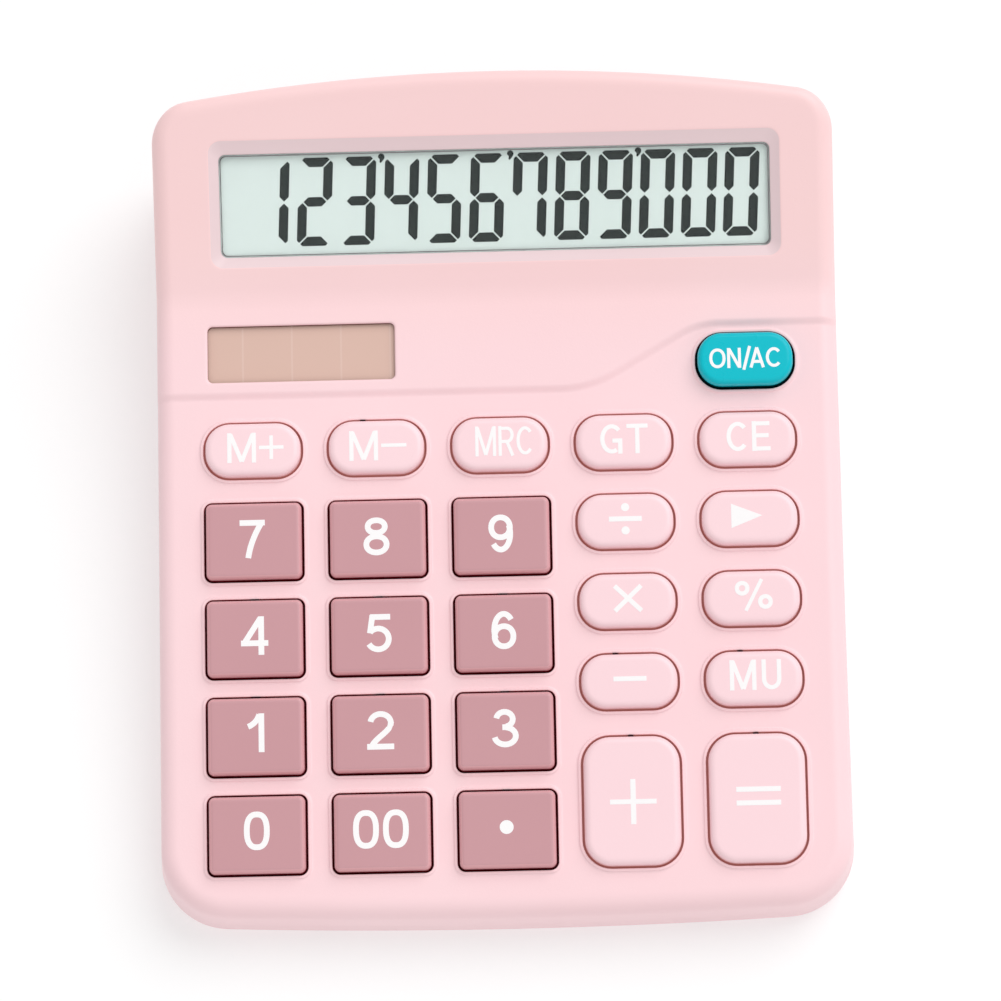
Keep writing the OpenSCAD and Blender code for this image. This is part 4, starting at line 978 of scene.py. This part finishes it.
legendSize = {
    "digit": 6.75, "digitStroke": 1.0, "digitSpace": 0.09, "word": 5.3, "stem": 0.74, "fine": 0.56,
    "power": 3.55, "powerStroke": 0.52, "thickness": 0.03, "sunk": 0.01, "barThick": 0.62,
    # Each word's height, stroke, how far its letters are stretched across, and the space between them.
    "words": {"MRC": ("word", "fine", 0.70, 0.06), "GT": ("word", "stem", 0.94, 0.13),
              "CE": ("word", "stem", 0.90, 0.15), "MU": ("word", "stem", 0.88, 0.16),
              "ON/AC": ("power", "powerStroke", 0.98, 0.05)},
    # Where a legend's middle lies from the middle of its key.
    "place": {
        "7": (-0.2, 0.2), "8": (-0.2, 0.2), "9": (-0.15, 0.2), "4": (0, 0.35), "5": (0, 0.3),
        "6": (0.05, 0.33), "1": (0, 0.5), "2": (0, 0.45), "3": (-0.05, 0.33), "0": (0, 0.62),
        "00": (-0.2, 0.45), "point": (-0.14, 0.31), "M+": (0.5, 0.25), "M-": (0.3, 0.12),
        "MRC": (0.65, 0.35), "GT": (0.09, 0.27), "CE": (0.17, 0.2), "MU": (0.2, 0.42), "ON/AC": (-0.1, -0.1),
        "divide": (-0.03, 0.18), "arrow": (-0.5, 0.24), "times": (0.1, 0.25), "percent": (0.3, 0.33),
        "minus": (0.1, 0.25), "plus": (0.15, -0.29), "equals": (0.15, 0.23),
    },
}


def word(text, height, stroke, stretch, spacing):
    # Letters side by side: strokes scaled to the height, stretched across and moved along by the pen.
    shapes, pen = [], 0.0
    for sign in text:
        for path in signPaths[sign]:
            shapes += thicken((path * [stretch, 1] + [pen, 0]) * height, stroke)
        pen += signWidth[sign] * stretch + spacing
    return shapes


def bar(x0, x1, y0, y1):
    # An upright rectangle from its four sides.
    return np.array([(x0, y0), (x1, y0), (x1, y1), (x0, y1)], float)


def dot(x, y, r):
    # A round dot about a point.
    return arc(x, y, r, r, 0, 360, 33)[:-1]


def drawnSigns():
    # The signs that are drawn in millimetres, from bars, dots and strokes.
    cap, thick = legendSize["word"], legendSize["barThick"] / 2
    low, high = cap / 2 - thick, cap / 2 + thick
    memory = word("M", cap, legendSize["stem"], 0.98, 0)
    rise, fall = line((-2.3, -2.2), (2.3, 2.2)), line((-2.3, 2.2), (2.3, -2.2))
    rings = [oval(-1.98, 1.2, 0.9, 0.92, 2.1, 28), oval(1.98, -1.2, 0.9, 0.92, 2.1, 28)]
    slash = line((-1.42, -2.75), (1.42, 2.75))
    return {
        "minus": [bar(-2.85, 2.85, -0.42, 0.42)],
        "divide": [bar(-2.85, 2.85, -0.44, 0.44), dot(0, 2.05, 0.72), dot(0, -2.05, 0.72)],
        "times": thicken(rise, 0.8) + thicken(fall, 0.8),
        "arrow": [line((-2.7, -2.15), (2.7, 0), (-2.7, 2.15))],
        "percent": thicken(rings[0], 0.74) + thicken(rings[1], 0.74) + thicken(slash, 0.62),
        "plus": [bar(-4.0, 4.0, -0.42, 0.42), bar(-0.45, 0.45, -3.9, 3.9)],
        "equals": [bar(-3.82, 3.82, 0.74, 1.62), bar(-3.82, 3.82, -1.62, -0.74)],
        "point": [dot(0, 0, 1.2)],
        "M+": memory + [bar(cap + 0.3, cap + 4.6, low, high),
                        bar(cap + 2.45 - thick, cap + 2.45 + thick, cap / 2 - 2.1, cap / 2 + 2.1)],
        "M-": memory + [bar(cap + 0.35, cap + 4.75, low, high)],
    }


def legendPolygons(legend):
    # A legend's polygons in millimetres, centred on its bounding box: a drawn sign, a word or a number.
    if legend in signShapes:
        shapes = signShapes[legend]
    elif legend in legendSize["words"]:
        height, stroke, stretch, space = legendSize["words"][legend]
        shapes = word(legend, legendSize[height], legendSize[stroke], stretch, space)
    else:
        shapes = word(legend, legendSize["digit"], legendSize["digitStroke"], 1.0, legendSize["digitSpace"])
    every = np.concatenate(shapes)
    middle = (every.min(0) + every.max(0)) / 2
    return [shape - middle for shape in shapes]


def buildLegend(name, column, kind, row, legend):
    # A thin plate of white on the flat top of its key.
    x, v = keyCentre(column, kind, row) + np.array(legendSize["place"][legend])
    top = keyShape["rise"][kind]
    parts = plate(legendPolygons(legend), lambda a, b, w: onDeck(x + a, v + b, w),
                  top - legendSize["sunk"], top + legendSize["thickness"])
    return makePiece("legend_" + name, parts, legendWhite, 30, body="key_" + name)


signShapes = drawnSigns()
for name, column, kind, row, legend in keyList:
    buildLegend(name, column, kind, row, legend)
print("legends:", len(keyList))


# Window pane: a flange behind the case and a pad that fills the opening.

pane = {"thickness": 0.6, "border": 1.4, "gap": 0.2, "edge": 0.12, "line": 0.03}


def buildPane():
    # The pane's section carried round its outline: flange below, pad in the opening, softened edge.
    width, depth = window["width"], window["depth"]
    top, low = -topCase["bevelDepth"], -window["top"] - pane["thickness"]
    soft, gap, border = pane["edge"], pane["gap"], pane["border"]
    section = [(border - 0.1, low, 0.4), (border, low + 0.1, 0.5), (border, -window["top"] - 0.05, 0.5),
               (border - 0.05, -window["top"], 0.5), (-gap, -window["top"], window["radius"] - gap)]
    section += [(-gap - soft * (1 - math.cos(a)), top - soft * (1 - math.sin(a)), window["radius"] - gap)
                for a in np.linspace(0, math.pi / 2, 5)]
    section.append((-gap - soft - pane["line"], top, window["radius"] - gap))
    middle = window["up"] + depth / 2
    rings = [roundedLoop(width + 2 * grow, depth + 2 * grow, radius, 8) for grow, n, radius in section]
    rings = [onFace(window["x"] + ring[:, 0], middle + ring[:, 1], n)
             for ring, (grow, n, radius) in zip(rings, section)]
    under = closeTo(rings[0], onFace(window["x"], middle, low), 2)[::-1]
    cover = closeTo(rings[-1], onFace(window["x"], middle, top), 2)
    # From the sixth ring on, the pad's sawn edge is painted dark as the shadow in the gap round it; the rest
    # is clear.
    parts = [bands(list(under[:-1]) + rings[:6]), bands(rings[5:]) + (paneEdgeShadow,), bands(cover)]
    return makePiece("windowPane", parts, clearAcrylic, 30, stands=["display_window"])


buildPane()
print("window pane made")


# Display: twelve slanted seven-segment digits and three marks.

display = {
    "text": "123456789000", "lastX": 43.4, "pitch": 7.33, "pitchGrow": 0.0125, "low": 9.1, "height": 15.45,
    "width": 6.0, "stroke": 1.64, "gap": 0.24, "corner": 1.0, "slant": 3.0, "level": -1.845,
    "thickness": 0.02, "markAfter": (3, 6, 9), "markX": 4.2, "markUp": 15.05,
    "markTail": [(-0.33, -0.05), (-0.2, -0.2), (-0.3, -0.62), (-0.1, -0.85), (0.25, -0.5)],
}
segmentsOf = {"0": "abcdef", "1": "bc", "2": "abged", "3": "abgcd", "4": "fgbc", "5": "afgcd", "6": "afgedc",
              "7": "fabc", "8": "abcdefg", "9": "abcdfg"}


def segment(start, end, outward, corners):
    # One bar of a digit from node to node, as wide as the stroke on both sides of the line between them.
    # A mitred end reaches the digit's cut corner, the other kind is a point.
    half, gap, cut = display["stroke"] / 2, display["gap"] / 2, display["corner"]
    slantGap, cornerGap = gap * 1.41, gap * 0.71      # along the bar and from the corner, for an equal gap
    start, end, q = (np.array(p, float) for p in (start, end, outward))
    along = (end - start) / np.linalg.norm(end - start)

    def tip(node, u, mitred):
        # Points of one end from its inner edge to its outer edge; u points into the bar.
        inner = node + u * (half + slantGap) - q * half
        if not mitred:
            return [inner, node + u * slantGap, node + u * (half + slantGap) + q * half]
        corner = node + (q - u) * (half - cut / 2) + (u + q) * cornerGap
        return [inner, corner, node + u * (cut - half) + q * half]

    return np.array(tip(start, along, corners[0]) + tip(end, -along, corners[1])[::-1])


def buildDigits():
    # Each digit's bars are drawn upright, slanted by a shear and laid a little above the display's glass.
    w, h, s = display["width"], display["height"], display["stroke"]
    x0, x1, y0, y1, middle = s / 2, w - s / 2, s / 2, h - s / 2, h / 2
    left, right, up, down = (-1, 0), (1, 0), (0, 1), (0, -1)
    bars = {"a": ((x0, y1), (x1, y1), up, (1, 1)), "b": ((x1, middle), (x1, y1), right, (0, 1)),
            "c": ((x1, y0), (x1, middle), right, (1, 0)), "d": ((x0, y0), (x1, y0), down, (1, 1)),
            "e": ((x0, y0), (x0, middle), left, (1, 0)), "f": ((x0, middle), (x0, y1), left, (0, 1)),
            "g": ((x0, middle), (x1, middle), up, (0, 0))}
    lean = math.tan(math.radians(display["slant"]))
    shapes = []
    for place, figure in enumerate(reversed(display["text"])):
        middleX = display["lastX"] - place * (display["pitch"] + display["pitchGrow"] * place)
        for label in segmentsOf[figure]:
            x, y = segment(*bars[label]).T
            shapes.append(np.column_stack([middleX - w / 2 + x + (y - middle) * lean, display["low"] + y]))
        if place in display["markAfter"]:
            mark = joined(arc(0.05, 0.25, 0.58, 0.58, -35, 190, 14), display["markTail"])
            shapes.append(mark + [middleX + display["markX"], display["low"] + display["markUp"]])
    low = display["level"]
    parts = []
    for shape in shapes:
        parts += plate([shape], onFace, low, low + display["thickness"])
    return makePiece("displayDigits", parts, lcdInk, 30)


buildDigits()
print("display digits made")


# Keypad mat: a sheet, and over each contact a soft skirt with a button and a carbon pill.

mat = {
    "halfWidth": 50.5, "front": 8.3, "beyond": 1.4, "bottom": -6.7, "top": -5.9, "hole": 3.8,
    "screwHole": 2.2, "powerSide": 9, "powerRear": 5.5, "travel": 1.3, "pill": (1.8, -5.3, -5.06),
    # Turned profiles of a dome, as radius and level.
    "skirt": [(3.8, -5.89), (4.5, -5.89), (4.42, -5.72), (3.6, -4.95), (2.85, -4.28), (2.62, -4.2),
              (2.62, -4.7), (2.9, -4.85), (3.45, -5.38), (3.8, -5.89)],
    "button": [(0, -3.55), (2.45, -3.55), (2.6, -3.7), (2.6, -4.65), (1.9, -4.75), (1.9, -5.05), (0, -5.05)],
}


def buildMatSheet():
    # Two flat sheets with the same holes, joined by the walls between them. The sheet ends behind the last
    # full row of keys, and one corner reaches on under the power key.
    x, v = keyCentre(4, "power", 4)
    rear = keyCentre(0, "function", 3)[1] + keypad["functionDepth"] / 2 + mat["beyond"]
    wide, front, side, far = mat["halfWidth"], mat["front"], x - mat["powerSide"], v + mat["powerRear"]
    outer = line((-wide, front), (wide, front), (wide, far), (side, far), (side, rear), (-wide, rear))
    turn = np.linspace(0, 2 * math.pi, 32, endpoint=False)
    circle = np.column_stack([np.cos(turn), np.sin(turn)])
    holes = [circle * mat["hole"] + keyCentre(*key[1:4]) for key in keyList]
    holes += [circle * mat["screwHole"] + place for place in topCase["boardScrews"]
              if insideLoop(circle * mat["screwHole"] + place, outer).all()]
    flat, triangles = fillSheet(outer, holes, [], lambda a, b: 0 * a)
    levels = mat["top"], mat["bottom"]
    parts = [(onDeck(flat[:, 0], flat[:, 1], w), triangles) for w in levels]
    for loop in [outer] + holes:
        parts.append(bands([onDeck(loop[:, 0], loop[:, 1], w) for w in levels]))
    return makePiece("keypadSheet", parts, matSilicone, stands=["keypad_mat"])


def buildDome(name, column, kind, row):
    # Turned pieces: the skirt, on a mesh of its own, stays with the case, and the button and the pill ride on
    # the key.
    x, v = keyCentre(column, kind, row)
    r, low, high = mat["pill"]
    pill = [(0, high), (r, high), (r, low), (0, low)]
    skirt, button, contact = [[bands(lathe(profile, lambda a, b, w: onDeck(x + a, v + b, w)))]
                              for profile in (mat["skirt"], mat["button"], pill)]
    folding = makePiece("domeSkirt_" + name, skirt, matSilicone, stands=["keypad_mat"])
    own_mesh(folding)
    makePiece("domeButton_" + name, button, matSilicone, body="key_" + name, stands=["keypad_mat"])
    makePiece("carbonPill_" + name, contact, carbonRubber, body="key_" + name, stands=["carbon_pills"])


buildMatSheet()
for name, column, kind, row, legend in keyList:
    buildDome(name, column, kind, row)
print("keypad mat and domes made")


# Bottom case, battery door and feet.

bottom = {
    "filletRadius": 1.6, "draft": 0.25, "lipInset": 2.35, "lipThickness": 1.0, "lipHeight": 2.0,
    "ribCount": 3, "ribFirst": 28, "ribPitch": 30, "ribMargin": 8, "ribWidth": 1.0, "ribHeight": 1.4,
    "sunk": 0.5, "postRadius": 2.4, "headRadius": 2.2, "headDepth": 2.0, "shankRadius": 1.45,
    "bayHalfLength": 28, "bayHalfDepth": 8, "bayY": 56, "bayRoof": 18.1, "bayWall": 1.4,
    "padTop": 4.6, "padSide": 5, "padFront": 3, "padRear": 5,
    "wireX": 26.7, "wireZ": 14.95, "wireRadius": 0.9, "wireInside": 1, "wireOutside": 2.4,
}
door = {
    "halfWidth": 31, "frontY": 44, "top": 2.9, "fit": 0.2, "beyond": 5, "cutFrom": 0.4,
    "tongue": 1, "tongueThickness": 0.8, "tongueRear": 8,
    "gripHalf": 9, "gripFirst": 11.6, "gripPitch": 1.6, "gripCount": 5, "gripRadius": 0.45,
}
foot = {
    "radius": 5, "sink": 0.6,
    "places": {"foot_front_left": (-46, -58), "foot_front_right": (46, -58), "foot_rear_left": (-46, 60),
               "foot_rear_right": (46, 60)},
}


def box(x0, x1, y0, y1, z0, z1):
    # A block from its six sides.
    corners = np.array([(x0, y0), (x1, y0), (x1, y1), (x0, y1)], float)
    low, high = np.column_stack([corners, np.full(4, z0)]), np.column_stack([corners, np.full(4, z1)])
    faces = [(3, 2, 1, 0), (4, 5, 6, 7)] + [(i, (i + 1) % 4, (i + 1) % 4 + 4, i + 4) for i in range(4)]
    return np.concatenate([low, high]), faces


def peg(x, y, profile, sides=40):
    # A solid turned about an upright axis, from a profile of radius and height.
    return bands(lathe(profile, lambda a, b, z: np.stack(np.broadcast_arrays(x + a, y + b, z), -1), sides))


def rod(r, x0, x1, y0, y1, z, sides=24):
    # A round bar lying level from one point to another, with flat ends: circles about the line between them.
    start, end = np.array([x0, y0, z], float), np.array([x1, y1, z], float)
    u = (end - start) / np.linalg.norm(end - start)
    a = np.linspace(0, 2 * math.pi, sides, endpoint=False)[:, None]
    side = np.array([-u[1], u[0], 0])
    ring = r * (np.cos(a) * side + np.sin(a) * np.array([0, 0, 1.0]))
    return bands([start + 0 * ring, start + ring, end + ring, end + 0 * ring])


def roughSolid(name, part):
    # A plain closed object in the scene, for shaping other pieces; it is taken away afterwards.
    mesh = bpy.data.meshes.new(name)
    mesh.from_pydata((part[0] * mm).tolist(), [], np.asarray(part[1]).tolist())
    tidyMesh(mesh)
    solid = bpy.data.objects.new(name, mesh)
    bpy.context.scene.collection.objects.link(solid)
    return solid


def shaped(base, changes):
    # The base after each change in turn: a solid joined to it, cut from it or kept in common with it.
    solids = [roughSolid("base", base)]
    for operation, part in changes:
        solids.append(roughSolid("tool", part))
        change = solids[0].modifiers.new("change", "BOOLEAN")
        change.operation, change.object, change.solver = operation, solids[-1], "MANIFOLD"
    bpy.context.view_layer.update()
    done = solids[0].evaluated_get(bpy.context.evaluated_depsgraph_get())
    mesh = bpy.data.meshes.new_from_object(done)
    points = np.empty(len(mesh.vertices) * 3)
    mesh.vertices.foreach_get("co", points)
    mesh.calc_loop_triangles()
    faces = np.empty(len(mesh.loop_triangles) * 3, int)
    mesh.loop_triangles.foreach_get("vertices", faces)
    bpy.data.meshes.remove(mesh)
    for solid in solids:
        old = solid.data
        bpy.data.objects.remove(solid)
        bpy.data.meshes.remove(old)
    return points.reshape(-1, 3) / mm, faces.reshape(-1, 3)


def trayRings():
    # The tray's outside from the middle of its underside, round its fillet and up to the joint line.
    low, r, draft, joint = case["footHeight"], bottom["filletRadius"], bottom["draft"], case["jointLine"]
    turn = np.linspace(0, math.pi / 2, 9)
    rings = [outlineRing(draft + r * (1 - math.sin(a)), low + r * (1 - math.cos(a))) for a in turn]
    rings = list(closeTo(rings[0], (0, 0, low))[::-1][:1]) + rings
    return rings + [outlineRing(0, joint - 0.16), outlineRing(0.03, joint - 0.05), outlineRing(0.14, joint)]


def bottomShell():
    # The tray's outside, the lip that stands up inside the joint, and the floor's inside, as rings.
    joint, floor = case["jointLine"], case["footHeight"] + case["wall"]
    outer, tip = bottom["lipInset"], joint + bottom["lipHeight"]
    inner = outer + bottom["lipThickness"]
    rings = trayRings()
    rings += [outlineRing(outer, joint), outlineRing(outer, tip - 0.25), outlineRing(outer + 0.25, tip),
              outlineRing(inner - 0.1, tip), outlineRing(inner, tip - 0.1), outlineRing(inner, floor)]
    rings += list(closeTo(rings[-1], (0, 0, floor))[1:])
    return bands(rings)


def bottomRaised():
    # What stands on the tray's floor, sunk a little into it: ribs, screw posts, the door's pad and the bay.
    floor = case["footHeight"] + case["wall"]
    sunk, reach, r = floor - bottom["sunk"], case["width"] / 2 - bottom["ribMargin"], bottom["postRadius"]
    raised = []
    for i in range(bottom["ribCount"]):
        y = frontY + bottom["ribFirst"] + i * bottom["ribPitch"]
        raised.append(box(-reach, reach, y, y + bottom["ribWidth"], sunk, floor + bottom["ribHeight"]))
    for x, y, top in topCase["caseScrews"]:
        profile = [(0, sunk), (r, sunk), (r, top - 0.25), (r - 0.2, top - 0.05), (0, top - 0.05)]
        raised.append(peg(x, y, profile))
    side, front = door["halfWidth"] + bottom["padSide"], door["frontY"] - bottom["padFront"]
    raised.append(box(-side, side, front, rearY - bottom["padRear"], sunk, bottom["padTop"]))
    wall = bottom["bayWall"]
    long, wide, middle = bottom["bayHalfLength"] + wall, bottom["bayHalfDepth"] + wall, bottom["bayY"]
    raised.append(box(-long, long, middle - wide, middle + wide, sunk, bottom["bayRoof"] + wall))
    return raised


def bottomCuts():
    # What is taken out: screw heads and shanks, the door's place and grooves, the bay, feet and wire holes.
    under, r, shank = case["footHeight"], bottom["headRadius"], bottom["shankRadius"]
    head = under + bottom["headDepth"]
    cuts = []
    for x, y, top in topCase["caseScrews"]:
        seat = [(0, 0), (r + 0.3, 0), (r + 0.3, under), (r, under + 0.3), (r, head), (0, head)]
        cuts.append(peg(x, y, seat))
        cuts.append(peg(x, y, [(0, 0.1), (shank, 0.1), (shank, top + 1), (0, top + 1)]))
    fit, front, far = door["fit"], door["frontY"] - door["fit"], rearY + door["beyond"]
    side, high = door["halfWidth"] + fit, door["top"] + fit / 2
    groove, low = side + door["tongue"], door["top"] - door["tongueThickness"] - fit / 2
    cuts.append(box(-side, side, front, far, door["cutFrom"], high))
    cuts.append(box(-groove, groove, front, far, low, high))
    long, wide, middle = bottom["bayHalfLength"], bottom["bayHalfDepth"], bottom["bayY"]
    cuts.append(box(-long, long, middle - wide, middle + wide, 0, bottom["bayRoof"]))
    r, top = foot["radius"] + 0.1, under + foot["sink"]
    cuts += [peg(x, y, [(0, 0), (r, 0), (r, top), (0, top)], 64) for x, y in foot["places"].values()]
    near, out = middle - wide + bottom["wireInside"], middle - wide - bottom["wireOutside"]
    for x in (-bottom["wireX"], bottom["wireX"]):
        cuts.append(rod(bottom["wireRadius"], x, x, near, out, bottom["wireZ"]))
    return cuts


def buildBottomCase():
    # The shell with everything that stands on it joined to it and every opening cut from it.
    changes = [("UNION", part) for part in bottomRaised()] + [("DIFFERENCE", part) for part in bottomCuts()]
    part = shaped(bottomShell(), changes)
    return makePiece("caseBottom", [part], casePink, 35, stands=["bottom_case"])


def buildBatteryDoor():
    # The part of the filled tray inside the door's block, with side tongues added and grip grooves cut.
    half, front, top = door["halfWidth"], door["frontY"], door["top"]
    side, low = half + door["tongue"], top - door["tongueThickness"]
    rings = trayRings()
    rings += list(closeTo(rings[-1], (0, 0, case["jointLine"]))[1:])
    changes = [("INTERSECT", box(-half, half, front, rearY + door["beyond"], 0, top)),
               ("UNION", box(-side, side, front, rearY - door["tongueRear"], low, top))]
    for i in range(door["gripCount"]):
        y = rearY - door["gripFirst"] + i * door["gripPitch"]
        groove = rod(door["gripRadius"], -door["gripHalf"], door["gripHalf"], y, y, case["footHeight"])
        changes.append(("DIFFERENCE", groove))
    part = shaped(bands(rings), changes)
    return makePiece("doorPanel", [part], casePink, 35, body="battery_door", stands=["battery_door"])


def buildFoot(name, x, y):
    # A turned pad: slightly hollow underneath, so that it stands on a ring.
    r, top = foot["radius"], case["footHeight"] + foot["sink"]
    turn = np.linspace(-math.pi / 2, 0, 7)
    profile = [(0, 0.15), (1.5, 0.13), (2.6, 0.05), (3.2, 0)]
    profile += [(r - 0.5 + 0.5 * math.cos(a), 0.5 + 0.5 * math.sin(a)) for a in turn] + [(r, top), (0, top)]
    part = peg(x, y, profile, 64)
    return makePiece(name.replace("foot_", "footPad_"), [part], footRubber, 30, stands=[name])


buildBottomCase()
buildBatteryDoor()
for name, (x, y) in foot["places"].items():
    buildFoot(name, x, y)
print("bottom case, door and feet made")


# Carried-over pieces: each gets its own finish.

finishOf = {
    "lcd_panel": lcdGlass, "lcd_reflector": foilSilver, "lcd_holder": whitePlastic, "lcd_ribbon": ribbonFilm,
    "solar_cell": solarGlass, "solar_wire_red": redInsulation, "solar_wire_black": blackInsulation,
    "circuit_board": boardLaminate, "contact_pads": carbonInk, "chip_cover": blackEpoxy,
    "board_capacitor": capacitorSleeve, "board_resistors": resistorCeramic, "board_screws": screwSteel,
    "case_screws": screwSteel, "aa_battery": batteryJacket, "battery_spring": springSteel,
    "battery_contacts": springSteel, "battery_wire_red": redInsulation, "battery_wire_black": blackInsulation,
}
for node, material in finishOf.items():
    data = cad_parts[node].data
    data.materials.clear()
    data.materials.append(material)
print("finishes set:", len(finishOf))


# Camera, light and floor.

view = {
    "tiltX": -17.0, "tiltY": -0.984, "tiltZ": 1.345, "offset": (-0.21, 1.01), "distance": 944.59,
    "aim": (0, 0.5, 20), "focalPixels": 5435.35, "imagePixels": 1001, "sensor": 36,
}


def buildCamera():
    # Three turns take the case's frame into the camera's, and their transpose turns the camera itself.
    tiltX, tiltY, tiltZ = (Matrix.Rotation(math.radians(view["tilt" + axis]), 3, axis) for axis in "XYZ")
    back = (tiltZ @ tiltY @ tiltX).transposed()
    eye = Vector(view["aim"]) + back @ Vector((-view["offset"][0], -view["offset"][1], view["distance"]))
    data = bpy.data.cameras.new("camera")
    data.sensor_width = view["sensor"]
    data.lens = view["focalPixels"] / view["imagePixels"] * view["sensor"]
    data.clip_start, data.clip_end = 0.01, 20
    camera = bpy.data.objects.new("camera", data)
    camera.matrix_world = Matrix.Translation(eye * mm) @ back.to_4x4()
    bpy.context.scene.collection.objects.link(camera)
    bpy.context.scene.camera = camera


light = {
    "sky": 0.55, "key": 1.46, "keyFrom": (0.55, 0.6, 1.0), "keySpread": 50,
    "fill": 0.4, "fillFrom": (0.2, -0.8, 1.0), "fillSpread": 60,
}


def buildSun(name, strength, source, spread):
    # A sun shining from a direction, as wide as its spread in degrees.
    data = bpy.data.lights.new(name, "SUN")
    data.energy, data.angle = strength, math.radians(spread)
    sun = bpy.data.objects.new(name, data)
    sun.rotation_euler = Vector(source).to_track_quat("Z", "Y").to_euler()
    bpy.context.scene.collection.objects.link(sun)


def buildWorld():
    # An even sky: white wherever the camera, a reflection or a view through the window meets it, and plain
    # light of its own strength for the rest.
    world = bpy.data.worlds.new("studio")
    world.use_nodes = True
    tree = world.node_tree
    tree.nodes.clear()
    path = addNode(tree, "ShaderNodeLightPath")
    seen = path.outputs["Is Camera Ray"]
    for ray in ("Is Glossy Ray", "Is Transmission Ray"):
        seen = addNode(tree, "ShaderNodeMath", [(0, seen), (1, path.outputs[ray])],
                       operation="MAXIMUM").outputs[0]
    plain, white = (addNode(tree, "ShaderNodeBackground", [("Color", (1, 1, 1, 1)), ("Strength", strength)])
                    for strength in (light["sky"], 1.0))
    mixed = addNode(tree, "ShaderNodeMixShader", [(0, seen), (1, plain.outputs[0]), (2, white.outputs[0])])
    addNode(tree, "ShaderNodeOutputWorld", [("Surface", mixed.outputs[0])])
    bpy.context.scene.world = world


ground = {"reach": 3000, "level": -0.02, "grey": 0.62, "glow": 0.4, "roughness": 0.9}


def buildFloor():
    # White with a soft shadow from above, and clear from below so that the underside can be seen.
    material, tree, shader = newMaterial("paleFloor")
    for label, value in (("Base Color", (ground["grey"],) * 3 + (1,)), ("Roughness", ground["roughness"]),
                         ("Specular IOR Level", 0.0), ("Emission Color", (1, 1, 1, 1)),
                         ("Emission Strength", ground["glow"])):
        shader.inputs[label].default_value = value
    side = addNode(tree, "ShaderNodeNewGeometry")
    clear = addNode(tree, "ShaderNodeBsdfTransparent")
    mixed = addNode(tree, "ShaderNodeMixShader",
                    [(0, side.outputs["Backfacing"]), (1, shader.outputs[0]), (2, clear.outputs[0])])
    tree.links.new(mixed.outputs[0], tree.nodes["Material Output"].inputs["Surface"])
    size, low = ground["reach"] * mm, ground["level"] * mm
    mesh = bpy.data.meshes.new("floor")
    mesh.from_pydata([(-size, -size, low), (size, -size, low), (size, size, low), (-size, size, low)], [],
                     [(0, 1, 2, 3)])
    mesh.materials.append(material)
    floor = bpy.data.objects.new("floor", mesh)
    bpy.context.scene.collection.objects.link(floor)


buildCamera()
buildSun("keyLight", light["key"], light["keyFrom"], light["keySpread"])
buildSun("fillLight", light["fill"], light["fillFrom"], light["fillSpread"])
buildWorld()
buildFloor()
bpy.context.scene.view_settings.view_transform = "Standard"
print("camera, light and floor set")
